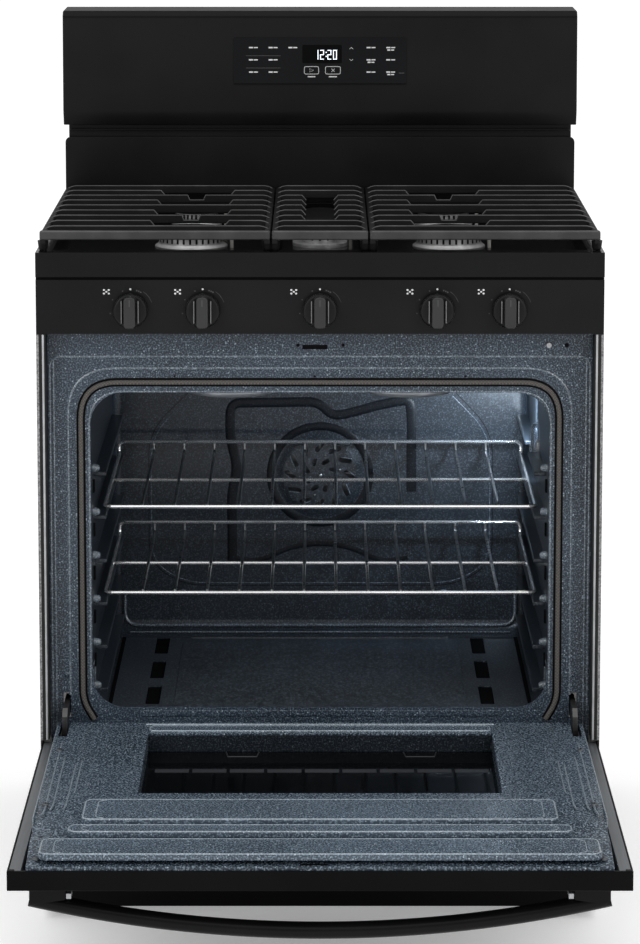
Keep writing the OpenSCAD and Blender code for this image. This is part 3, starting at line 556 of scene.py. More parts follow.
class Form:
    """A mesh in the making. Every size it takes is in millimetres."""

    def __init__(self) -> None:
        """Starts with nothing."""
        self.bm = bmesh.new()

    @classmethod
    def of_node(cls, node: str, edge: float = 0.0, segments: int = 2, sharp: float = 30.0) -> "Form":
        """A CAD node's shape with its flat faces joined and its edges softened.

        Args:
            node: the CAD node.
            edge: the width of the softened edges.
            segments: the pieces of each softened edge.
            sharp: the angle above which an edge counts.

        Returns:
            The form.
        """
        form = cls()
        form.bm.from_mesh(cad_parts[node].data)
        bmesh.ops.remove_doubles(form.bm, verts=form.bm.verts, dist=2e-6)
        bmesh.ops.dissolve_limit(form.bm, angle_limit=math.radians(0.5), verts=form.bm.verts,
                                 edges=form.bm.edges, use_dissolve_boundaries=False)
        if edge:
            form.soften(edge, segments, sharp)
        return form

    def soften(self, width: float, segments: int = 2, sharp: float = 30.0) -> "Form":
        """Bevels every edge sharper than an angle."""
        bevel(self.bm, keen(self.bm, sharp), width, segments)
        return self

    def join(self, part: bmesh.types.BMesh) -> "Form":
        """Takes in another mesh, which is freed."""
        bmesh.ops.remove_doubles(part, verts=part.verts, dist=2e-6)
        bmesh.ops.recalc_face_normals(part, faces=part.faces)
        mesh = bpy.data.meshes.new("part")
        part.to_mesh(mesh)
        part.free()
        self.bm.from_mesh(mesh)
        bpy.data.meshes.remove(mesh)
        return self

    def add(self, other: "Form") -> "Form":
        """Takes in another form."""
        return self.join(other.bm)

    def block(self, x: Span, y: Span, z: Span, edge: float = 0.0, segments: int = 2) -> "Form":
        """Adds a block with softened edges."""
        part = bmesh.new()
        low_corner, high_corner = at(x[0], y[0], z[0]), at(x[1], y[1], z[1])
        size = high_corner - low_corner
        middle = (high_corner + low_corner) / 2
        bmesh.ops.create_cube(part, size=1.0,
                              matrix=Matrix.Translation(middle) @ Matrix.Diagonal((*size, 1.0)))
        if edge:
            bevel(part, part.edges[:], edge, segments)
        return self.join(part)

    def prism(self, outline: Sequence[Point2], axis: Axis, span: Span, edge: float = 0.0,
              segments: int = 2, sharp: float = 30.0) -> "Form":
        """Adds an outline extruded along an axis.

        Args:
            outline: the sketch's points in order.
            axis: the direction of the extrusion.
            span: where it starts and ends.
            edge: the width of its softened edges.
            segments: the pieces of each softened edge.
            sharp: the angle above which an edge is softened.

        Returns:
            The form.
        """
        part = bmesh.new()
        verts = [part.verts.new(axis.lift(a, b, span[0])) for a, b in outline]
        face = part.faces.new(verts)
        made = bmesh.ops.extrude_face_region(part, geom=[face])
        moved = [g for g in made["geom"] if isinstance(g, bmesh.types.BMVert)]
        shift = axis.lift(0, 0, span[1]) - axis.lift(0, 0, span[0])
        bmesh.ops.translate(part, verts=moved, vec=shift)
        bmesh.ops.recalc_face_normals(part, faces=part.faces)
        if edge:
            bevel(part, keen(part, sharp), edge, segments)
        return self.join(part)

    def lathe(self, profile: Sequence[Point2], axis: Axis, centre: Point3, steps: int = 40) -> "Form":
        """Adds a profile spun round an axis.

        Args:
            profile: pairs of radius and distance along the axis.
            axis: the axis of the spin.
            centre: a point on it.
            steps: the sides of the result.

        Returns:
            The form.
        """
        part = bmesh.new()
        middle = at(*centre)
        out = Vector((0, 0, 1)) if axis is not Axis.Z else Vector((1, 0, 0))
        along = Vector([1.0 if k == axis.value else 0.0 for k in range(3)])
        verts = [part.verts.new(middle + out * r * MM + along * h * MM) for r, h in profile]
        edges = [part.edges.new(pair) for pair in zip(verts, verts[1:])]
        bmesh.ops.spin(part, geom=[*verts, *edges], cent=middle, axis=along, angle=2 * math.pi,
                       steps=steps, use_merge=True)
        return self.join(part)

    def ball(self, centre: Point3, radius: float, sides: int = 16) -> "Form":
        """Adds a ball."""
        part = bmesh.new()
        bmesh.ops.create_uvsphere(part, u_segments=sides, v_segments=sides // 2, radius=radius * MM,
                                  matrix=Matrix.Translation(at(*centre)))
        return self.join(part)

    def wire(self, path: Sequence[Vector], radius: float, smooth: int = 2,
             closed: bool = False) -> "Form":
        """Adds a round wire along a path in metres.

        Args:
            path: the points that it follows.
            radius: its radius.
            smooth: how finely it is rounded.
            closed: whether its end joins its start.

        Returns:
            The form.
        """
        curve = bpy.data.curves.new("wire", "CURVE")
        curve.dimensions = "3D"
        curve.bevel_depth = radius * MM
        curve.bevel_resolution = smooth
        curve.use_fill_caps = not closed
        spline = curve.splines.new("POLY")
        spline.points.add(len(path) - 1)
        for point, place in zip(spline.points, path):
            point.co = (*place, 1.0)
        spline.use_cyclic_u = closed
        holder = bpy.data.objects.new("wire", curve)
        mesh = bpy.data.meshes.new_from_object(holder)
        part = bmesh.new()
        part.from_mesh(mesh)
        bpy.data.objects.remove(holder)
        bpy.data.curves.remove(curve)
        bpy.data.meshes.remove(mesh)
        return self.join(part)

    def turned(self, matrix: Matrix) -> "Form":
        """Moves the whole form by a matrix."""
        self.bm.transform(matrix)
        return self

    def flattened(self, y: float, share: float) -> "Form":
        """Presses a form that was drawn round the front plane flatter, and sets it at a depth."""
        home = Matrix.Translation(at(0, 0, 0)).inverted()
        away = Matrix.Translation(at(0, y, 0))
        return self.turned(away @ Matrix.Diagonal((1.0, share, 1.0, 1.0)) @ home)

    def mirrored(self) -> "Form":
        """Adds the form's mirror image across the middle plane."""
        other = self.bm.copy()
        other.transform(MIRROR)
        bmesh.ops.reverse_faces(other, faces=other.faces)
        return self.join(other)

    def cut(self, tool: "Form") -> "Form":
        """Takes another form's solid away from this one."""
        holders = []
        for bm in (self.bm, tool.bm):
            mesh = bpy.data.meshes.new("cutting")
            bm.to_mesh(mesh)
            bm.free()
            holders.append(bpy.data.objects.new("cutting", mesh))
            bpy.context.scene.collection.objects.link(holders[-1])
        step = holders[0].modifiers.new("cut", "BOOLEAN")
        step.operation, step.solver, step.object = "DIFFERENCE", "EXACT", holders[1]
        bpy.context.view_layer.update()
        seen = holders[0].evaluated_get(bpy.context.evaluated_depsgraph_get())
        mesh = bpy.data.meshes.new_from_object(seen)
        self.bm = bmesh.new()
        self.bm.from_mesh(mesh)
        for holder in holders:
            bpy.data.meshes.remove(holder.data)
        bpy.data.meshes.remove(mesh)
        return self

    def piece(self, name: str, body: str, finish: Finish, *stands_for: str,
              smooth: float = 40.0) -> bpy.types.Object:
        """Makes the object.

        Args:
            name: the piece's name.
            body: the CAD body that it rides on.
            finish: its finish.
            stands_for: the CAD nodes that it replaces.
            smooth: the angle below which edges are shaded smooth.

        Returns:
            The object.
        """
        for face in self.bm.faces:
            face.smooth = True
        for edge in self.bm.edges:
            edge.smooth = edge.calc_face_angle(0.0) < math.radians(smooth)
        mesh = bpy.data.meshes.new(name)
        self.bm.to_mesh(mesh)
        self.bm.free()
        mesh.materials.append(finish.material())
        made = bpy.data.objects.new(name, mesh)
        bpy.context.scene.collection.objects.link(made)
        weigh = made.modifiers.new("even_shading", "WEIGHTED_NORMAL")
        weigh.keep_sharp = True
        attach(made, body)
        if stands_for:
            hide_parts(*stands_for)
        LOG.info("%s: %d faces, on %s", name, len(mesh.polygons), body)
        return made


def dress(finish: Finish, *nodes: str) -> None:
    """Gives carried CAD nodes their finish."""
    for node in nodes:
        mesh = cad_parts[node].data
        mesh.materials.clear()
        mesh.materials.append(finish.material())
        LOG.info("%s: %s", node, finish.name)


# ---------------------------------------------------------------- body


@dataclass
class Console:
    """The backguard with its touch controls, and the splash panel below it."""

    edge: float = 1.4
    strip_drop: float = 9.0
    lower_turn: float = 22.0
    print_depth: float = 0.15
    glass_stand: float = 2.0

    def build(self) -> None:
        """Builds the housing, the splash panel and the printed glass."""
        self.near, self.far = low("backguard"), high("backguard")
        self.base = high("backsplash").z + 18.0
        self.glass_low, self.glass_high = low("backguard_glass"), high("backguard_glass")
        self.face = self.near.y - self.glass_stand
        self.lean = Matrix.Rotation(-math.atan(5 / 139), 4, "X")
        self.pivot = Matrix.Translation(at(0, self.near.y, self.base + self.lower_turn))
        self.housing()
        self.splash()
        self.glass()
        self.display()
        self.legends()

    def housing(self) -> None:
        """The black housing with its paler top strip, which paints the light on its top bevel, and a painted
        highlight line in the vent gap below.
        """
        top, front, back = self.far.z, self.near.y, self.far.y
        outline = [(front + 9, self.base), (front, self.base + self.lower_turn),
                   (front + 5, top - 7), (front + 12, top), (back - 12, top), (back, top - 12),
                   (back, self.base)]
        form = Form().prism(outline, Axis.X, (self.near.x, self.far.x), self.edge, 3)
        form.block((self.near.x + 7, self.far.x - 7), (front + 20, back),
                   (self.near.z, self.base + 1), 0.8)
        form.piece("backguard_housing", "cabinet", PAINT, "backguard")
        # Painted light: a thin strip over the top bevel, coloured apart from the housing for the light that
        # falls on the bevel.
        strip = [(front + 4.0, top - self.strip_drop), (front + 4.4, top - 6.6),
                 (front + 11.6, top + 0.4), (back - 13, top + 0.4), (back - 13, top - 0.4),
                 (front + 12.4, top - 0.4), (front + 5.4, top - self.strip_drop)]
        Form().prism(strip, Axis.X, (self.near.x + 1, self.far.x - 1), 0.3).piece(
            "backguard_top_strip", "cabinet", TRIM)
        # Painted highlight: a thin line in the vent gap below the housing.
        seam = Form().block((self.near.x + 10, self.far.x - 10), (front + 12, front + 16),
                            (self.base - 9, self.base - 6), 0.8)
        seam.piece("backguard_seam", "cabinet", TRIM)

    def splash(self) -> None:
        """The lower panel with its rounded upper corners."""
        near, far = low("backsplash"), high("backsplash")
        face = rounded((near.x, far.x), (near.z, far.z), (0.0, 8.0))
        form = Form().prism(face, Axis.Y, (near.y, near.y + 3), 0.9, 3, 60.0)
        form.block((near.x + 40, far.x - 40), (near.y + 2, far.y), (near.z + 8, near.z + 20), 0.5)
        form.piece("splash_panel", "cabinet", PAINT, "backsplash")

    def on_face(self, form: Form) -> Form:
        """Leans a form that was drawn upright on the housing's face."""
        return form.turned(self.pivot @ self.lean @ self.pivot.inverted())

    def glass(self) -> None:
        """The control glass with a paler line below it, a painted highlight on its lower edge."""
        housing = self.near.y
        x = (self.glass_low.x, self.glass_high.x)
        z = (self.glass_low.z, self.glass_high.z)
        form = Form().prism(rounded(x, z, 3.0), Axis.Y, (self.face, housing - 0.05), 0.5, 2, 60.0)
        self.on_face(form).piece("control_glass", "cabinet", GLASS, "backguard_glass")
        # Painted highlight: a thin line along the glass's lower edge.
        line = Form().block((x[0] + 1, x[1] - 1), (housing - 1.6, housing),
                            (z[0] - 1.6, z[0] - 0.2), 0.3)
        self.on_face(line).piece("control_glass_edge", "cabinet", TRIM)

    def printed(self, form: Form, x: Span, z: Span) -> None:
        """Adds a printed bar to a form."""
        form.block(x, (self.face - self.print_depth, self.face + 0.1), z)

    def display(self) -> None:
        """The clock's window and its seven-segment digits."""
        window = Form().prism(rounded((-26, 32), (1120, 1147), 2.0), Axis.Y,
                              (self.face - 0.1, self.face + 0.2))
        self.on_face(window).piece("display_window", "cabinet", WINDOW)
        digits = Form()
        for left, shown in zip((-8.0, 0.2, 11.0, 19.2), ("bc", "abged", "abged", "abcdef")):
            self.digit(digits, left, shown)
        for z in (1130.0, 1136.0):
            self.printed(digits, (8.4, 9.8), (z - 0.8, z + 0.8))
        self.on_face(digits).piece("display_digits", "cabinet", DIGIT)

    def digit(self, form: Form, left: float, shown: str) -> None:
        """Adds one seven-segment digit."""
        base, width, half, bar = 1125.5, 5.6, 7.0, 1.1
        right, middle, top = left + width, base + half, base + 2 * half
        spans = {"a": ((left, right), (top - bar, top)), "d": ((left, right), (base, base + bar)),
                 "g": ((left, right), (middle - bar / 2, middle + bar / 2)),
                 "b": ((right - bar, right), (middle, top)), "c": ((right - bar, right), (base, middle)),
                 "f": ((left, left + bar), (middle, top)), "e": ((left, left + bar), (base, middle))}
        for key in shown:
            self.printed(form, *spans[key])

    def outline(self, form: Form, points: Sequence[Point2], closed: bool, thick: float = 0.4) -> None:
        """Adds a printed line through points on the glass."""
        path = [at(x, self.face, z) for x, z in points]
        form.wire(path, thick, 0, closed)

    def legends(self) -> None:
        """Plain bars for the touch areas, two framed keys and the arrows."""
        words, faint = Form(), Form()
        for x, count in ((-98, 1), (-69, 1), (-40, 2), (75, 2), (104, 1)):
            for row, z in enumerate((1143, 1125, 1107)):
                if x == -40 and row:
                    continue
                for line in range(1 + (count + row) % 2 * (x > 0)):
                    half = 6.5 - 1.5 * line
                    self.printed(words, (x - half, x - 0.6), (z - 3.6 * line - 1.0, z - 3.6 * line + 1.0))
                    self.printed(words, (x + 0.6, x + half), (z - 3.6 * line - 0.8, z - 3.6 * line + 0.8))
        for z in (1131, 1113):
            self.printed(faint, (-109, -58), (z - 0.3, z + 0.3))
        self.printed(faint, (116, 124), (1105, 1106))
        for left, right in ((-23, -2), (8, 30)):
            self.outline(words, rounded((left, right), (1104, 1115), 2.2, 3), True, 0.45)
            self.printed(words, (left + 5, right - 5), (1099.4, 1101.0))
        self.outline(words, ((-15, 1107), (-15, 1112.4), (-9.5, 1109.7)), True)
        self.outline(words, ((17, 1107.4), (21.4, 1111.8)), False)
        self.outline(words, ((17, 1111.8), (21.4, 1107.4)), False)
        for z, rise in ((1142, 2.2), (1125, -2.2)):
            self.outline(words, ((43.4, z - rise / 2), (46, z + rise / 2), (48.6, z - rise / 2)), False)
        self.on_face(words).piece("control_legends", "cabinet", PRINT)
        self.on_face(faint).piece("control_group_lines", "cabinet", FAINT)


@dataclass
class Burner:
    """One round burner: where it is and how large."""

    x: float
    y: float
    radius: float


@dataclass
class Cooktop:
    """The enamelled top, the burners in its basin and the printed control panel."""

    basin: float = 895.0
    slot_count: int = 32
    head_rise: float = 22.0
    long_half: float = 88.0
    long_radius: float = 24.0
    top: float = 914.0
    sign_z: float = 861.0
    sign_places: tuple[float, ...] = (-285, -190, -35, 120, 215)

    def build(self) -> None:
        """Builds the top, the burners and the panel below them."""
        Form.of_node("cooktop", 2.2, 3).piece("cooktop_shell", "cabinet", GLOSS, "cooktop")
        Form.of_node("control_panel", 1.0, 2).piece("control_panel_sheet", "cabinet", PAINT,
                                                    "control_panel")
        self.burners = [Burner(-178, 186, 50), Burner(178, 186, 50), Burner(-178, 414, 36),
                        Burner(178, 414, 42)]
        self.heads()
        self.caps()
        self.marks()
        self.rim_shadow()

    def heads(self) -> None:
        """The aluminium heads, with painted shade in the slots round them."""
        heads, port_shade = Form(), Form()
        for b in self.burners:
            neck = b.radius - 5
            heads.lathe([(0, -14), (10.5, -14), (10.5, 0), (b.radius - 1, 0), (b.radius, 1.2),
                         (b.radius, 4), (neck + 1.5, 6.5), (neck, 8.5), (neck, self.head_rise - 1),
                         (neck - 1.5, self.head_rise), (0, self.head_rise)],
                        Axis.Z, (b.x, b.y, self.basin), 56)
            for k in range(self.slot_count):
                port = Form().block((b.x + neck - 1.4, b.x + neck + 0.3), (b.y - 1.5, b.y + 1.5),
                                    (self.basin + 10, self.basin + self.head_rise - 2), 0.3, 1)
                spot = Matrix.Translation(at(b.x, b.y, 0))
                spin = Matrix.Rotation(2 * math.pi * k / self.slot_count, 4, "Z")
                port_shade.add(port.turned(spot @ spin @ spot.inverted()))
        y = (self.burners[0].y + self.burners[2].y) / 2
        half, oval = self.long_half, self.long_radius
        for r, z in ((38, (0, 5)), (oval, (4, self.head_rise))):
            heads.prism(rounded((-r, r), (y - half - r, y + half + r), r - 0.01, 14), Axis.Z,
                        (self.basin + z[0], self.basin + z[1]), 1.2, 2, 60.0)
        heads.block((-10, 10), (y - 10, y + 10), (self.basin - 14, self.basin + 1), 2)
        for k in range(17):
            for side in (-1, 1):
                port_shade.block((side * oval - 0.4, side * oval + 0.4),
                            (y - half + 11 * k - 1.5, y - half + 11 * k + 1.5),
                            (self.basin + 9, self.basin + 19), 0.3, 1)
        for k in range(7):
            turn = math.pi * (k + 0.5) / 7
            x0, y0 = oval * math.cos(turn), y - half - oval * math.sin(turn)
            port_shade.block((x0 - 1.4, x0 + 1.4), (y0 - 0.4, y0 + 0.6),
                        (self.basin + 9, self.basin + 19), 0.3, 1)
        heads.piece("burner_heads_turned", "cabinet", ALUMINIUM, "burner_heads")
        # Painted shade: dark blocks set into each burner slot.
        port_shade.piece("burner_port_shade", "cabinet", SHADE_FILL)

    def caps(self) -> None:
        """The enamelled caps."""
        form = Form()
        base = self.basin + self.head_rise
        for b in self.burners:
            r = b.radius - 3
            form.lathe([(0, 0), (r - 1.5, 0), (r, 1.2), (r - 0.4, 3.4), (r - 2.5, 5.2),
                        (r - 6, 5.9), (0, 6)], Axis.Z, (b.x, b.y, base), 56)
        y = (self.burners[0].y + self.burners[2].y) / 2
        form.prism(rounded((-21, 21), (y - 109, y + 109), 20.99, 14), Axis.Z, (base, base + 6),
                   2.0, 3, 60.0)
        form.piece("burner_caps_enamelled", "cabinet", CAPS, "burner_caps")

    def marks(self) -> None:
        """The printed marks round each knob."""
        bright, faint = Form(), Form()
        face = low("control_panel").y
        skin = (face - 0.15, face + 0.2)
        for n in range(1, 6):
            x = (low(f"knob_{n}").x + high(f"knob_{n}").x) / 2
            z = (low(f"knob_{n}").z + high(f"knob_{n}").z) / 2
            bright.prism(rounded((x - 1.3, x + 1.3), (z + 26.6, z + 29.2), 1.29, 5), Axis.Y, skin)
            self.dots(faint, (x, z), (60, 66, 72), 0.9, skin)
            turns = [round_about((x, z), 30, a) for a in range(20, 56, 5)]
            faint.wire([at(a, face, b) for a, b in turns], 0.35, 0)
            self.dots(faint, (x, z), (112, 150, 190), 0.7, skin)
        for x in self.sign_places:
            for dx, dz in ((-3.2, -2.4), (3.2, -2.4), (-3.2, 2.4), (3.2, 2.4)):
                across, up = x + dx, self.sign_z + dz
                bright.prism(rounded((across - 1.4, across + 1.4), (up - 1.2, up + 1.2), 1.15, 4),
                             Axis.Y, skin)
            bright.block((x - 1.3, x + 1.3), skin, (859.9, 862.1), 0.05)
        bright.piece("panel_marks", "cabinet", PRINT)
        faint.piece("panel_faint_marks", "cabinet", FAINT)

    def dots(self, form: Form, centre: Point2, turns: Sequence[float], half: float,
             skin: Span) -> None:
        """Adds small square dots on a circle round a knob."""
        for degrees in turns:
            x, z = round_about(centre, 27.5, degrees)
            form.block((x - half, x + half), skin, (z - half, z + half))

    def rim_shadow(self) -> None:
        """Painted shade in the gap between the top's fascia and the control panel, and painted highlight
        lines along their top edges.
        """
        x = (low("cooktop").x + 2, high("cooktop").x - 2)
        # Painted shade: a dark block fills the gap.
        gap = Form().block(x, (3, 8), (high("control_panel").z - 0.5, low("cooktop").z + 0.5), 0.2)
        gap.piece("fascia_gap_shade", "cabinet", SHADE_FILL)
        # Painted highlight: a pale line along each top front edge.
        lit_edges = Form()
        for node, rise in (("cooktop", self.top), ("control_panel", high("control_panel").z)):
            y, half = low(node).y, high(node).x - 3
            lit_edges.wire([at(-half, y + 0.9, rise - 0.9), at(half, y + 0.9, rise - 0.9)], 0.8, 1)
        lit_edges.piece("fascia_highlight_lines", "cabinet", LIP_HIGHLIGHT)


@dataclass
class Grates:
    """Three cast grates whose bars droop to their side frames."""

    bar: float = 8.0
    depth: float = 12.0
    first: float = 72.0
    count: int = 9
    droop: float = 8.0

    def build(self) -> None:
        """Builds the left, middle and right grates."""
        self.top = high("grate_left").z
        self.last = high("grate_left").y
        self.pitch = (self.last - self.bar / 2 - self.first) / (self.count - 1)
        for name, side in (("grate_left", -1), ("grate_right", 1)):
            self.side(name, side)
        self.middle()

    def place(self, k: int) -> float:
        """The depth of a bar's middle."""
        return self.first + k * self.pitch

    def rod(self, form: Form, x: Span, k: int, ends: tuple[bool, bool], notch: float | None = None,
            tips: tuple[bool, bool] = (False, False)) -> None:
        """Adds one bar.

        Args:
            form: the grate's form.
            x: where the bar starts and ends.
            k: its place, counted from the front.
            ends: whether each end droops to the frame.
            notch: the middle of a notch over a burner, if it has one.
            tips: whether each end is a sloping finger.
        """
        top, bottom = self.top, self.top - self.depth
        upper = []
        for edge, way, drooped, tip in ((x[0], 1, ends[0], tips[0]), (x[1], -1, ends[1], tips[1])):
            rise = [(edge, top - self.droop), (edge + way * 3, top - self.droop / 2),
                    (edge + way * 9, top - 1.2), (edge + way * 15, top)]
            sloped = [(edge, top - 7), (edge + way * 6, top)]
            chosen = rise if drooped else sloped if tip else [(edge, top)]
            upper.append(chosen if way > 0 else chosen[::-1])
        notched = []
        if notch is not None:
            notched = [(notch - 13, top), (notch - 10, top - 7), (notch + 10, top - 7),
                       (notch + 13, top)]
        outline = [(x[0], bottom), *upper[0], *notched, *upper[1], (x[1], bottom)]
        y = self.place(k)
        form.prism(outline[::-1], Axis.Y, (y - self.bar / 2, y + self.bar / 2), 1.5, 2, 25.0)
        crest = [*upper[0], *notched, *upper[1]]
        # Painted highlight along the bar's top edge.
        self.glint_lines.wire([at(a, y - self.bar / 2 + 0.9, b - 0.7) for a, b in crest], 0.85, 1)

    def frame(self, form: Form, x: Span) -> None:
        """Adds the front bar, the side rails and the feet."""
        y0, y1 = low("grate_left").y, self.last
        # The front bar takes the lighter iron: painted light.
        self.rail.block(x, (y0, y0 + self.bar + 4), (self.top - self.depth, self.top), 2.4, 3)
        # Painted highlight along the front bar's top edge.
        self.glint_lines.wire([at(x[0] + 3, y0 + 1.2, self.top - 1.0),
                        at(x[1] - 3, y0 + 1.2, self.top - 1.0)], 0.8, 1)
        for start in (x[0], x[1] - self.bar):
            form.prism([(y0 + 2, self.top - 18), (y1, self.top - 18), (y1, self.top - 4),
                        (y0 + 8, self.top - 4), (y0 + 2, self.top - 6)], Axis.X,
                       (start, start + self.bar), 1.5)
            for y in (y0 + 9, y1 - 4 - self.bar):
                foot = low("grate_left").z
                form.lathe([(0, foot), (5, foot), (6.2, foot + 2), (7.4, self.top - 14), (0, self.top - 14)],
                           Axis.Z, (start + self.bar / 2, y + self.bar / 2, 0), 14)

    def side(self, name: str, side: int) -> None:
        """One side grate, drawn on the right and mirrored for the left."""
        near, far = low("grate_right"), high("grate_right")
        x, burner, gap = (near.x, far.x), 178.0, 48.0
        form, self.rail, self.glint_lines = Form(), Form(), Form()
        self.frame(form, x)
        for k in range(self.count):
            if k % 2:
                self.rod(form, (x[0], burner - gap), k, (True, False), tips=(False, True))
                self.rod(form, (burner + gap, x[1]), k, (False, True), tips=(True, False))
            else:
                self.rod(form, x, k, (True, True), burner if k in (2, 6) else None)
        if side < 0:
            for part in (form, self.rail, self.glint_lines):
                part.turned(MIRROR)
                bmesh.ops.reverse_faces(part.bm, faces=part.bm.faces)
        self.finish(name, form)

    def finish(self, name: str, form: Form) -> None:
        """Turns a grate's three forms into its pieces."""
        form.piece(f"{name}_cast", name, IRON, name)
        self.rail.piece(f"{name}_front_rail", name, LIT_RAIL_IRON)
        self.glint_lines.piece(f"{name}_painted_highlight_edges", name, IRON_HIGHLIGHT)

    def middle(self) -> None:
        """The middle grate, open over the long burner."""
        x = (low("grate_centre").x, high("grate_centre").x)
        form, self.rail, self.glint_lines = Form(), Form(), Form()
        self.frame(form, x)
        for k in range(self.count):
            if 2 <= k <= self.count - 3:
                self.rod(form, (x[0], -20), k, (True, False), tips=(False, True))
                self.rod(form, (20, x[1]), k, (False, True), tips=(True, False))
            else:
                self.rod(form, x, k, (True, True))
        self.finish("grate_centre", form)


@dataclass
class Knobs:
    """Five control knobs: a round skirt, a raised grip and its pointer line."""

    bore: float = 3.2
    grip_half: float = 7.75
    skirt_radius: float = 23.5
    ribs: int = 48

    def build(self) -> None:
        """Builds each knob on its own body."""
        for n in range(1, 6):
            near, far = low(f"knob_{n}"), high(f"knob_{n}")
            x, z = (near.x + far.x) / 2, (near.z + far.z) / 2
            r, back, front = (far.x - near.x) / 2, far.y, near.y
            skirt = Form().lathe(
                [(0, back - 8), (self.bore, back - 8), (self.bore, back), (r - 1, back), (r, back - 1),
                 (r, back - 5), (r - 1.2, back - 8), (r - 2.5, back - 9), (r - 6, back - 9.6),
                 (0, back - 9.6)], Axis.Y, (x, 0, z), 56)
            for side in (-1, 1):
                skirt.prism(self.flank(x, z, side, r), Axis.Y, (back - 16, back - 8.5), 1.2, 2, 25.0)
            skirt.piece(f"knob_{n}_skirt", f"knob_{n}", KNOB, f"knob_{n}")
            face = rounded((x - self.grip_half, x + self.grip_half), (z - r + 2.5, z + r - 2.5), 5.0, 5)
            grip = Form().prism(face, Axis.Y, (front, back - 8.5), 1.8, 3, 50.0)
            grip.piece(f"knob_{n}_grip", f"knob_{n}", GRIP)
            # Painted highlight: pale strips beside the grip and pale ribs round the rim.
            strips = Form()
            for side in (-1, 1):
                strips.wire([at(x + side * (self.grip_half + 3.4), back - 15.8, z + d)
                             for d in (-15, 15)], 0.8, 1)
            for k in range(self.ribs):
                turn = 2 * math.pi * k / self.ribs
                strips.wire([at(x + (r - 1.0) * math.cos(turn), back - d, z + (r - 1.0) * math.sin(turn))
                             for d in (2.0, 6.8)], 0.5, 0)
            strips.piece(f"knob_{n}_strips", f"knob_{n}", KNOB_HIGHLIGHT)
            line = Form().block((x - 0.6, x + 0.6), (front - 0.15, front + 0.2), (z + 9, z + r - 5.5))
            line.piece(f"knob_{n}_pointer", f"knob_{n}", FAINT)

    def flank(self, x: float, z: float, side: int, r: float) -> list[Point2]:
        """The raised shoulder beside the grip: a strip that follows the skirt's rim."""
        inner, outer = self.grip_half + 2.2, self.grip_half + 4.6
        points = [(inner, -17), (outer, -15.5), (outer, 15.5), (inner, 17)]
        return [(x + side * a, z + b * r / self.skirt_radius) for a, b in points]


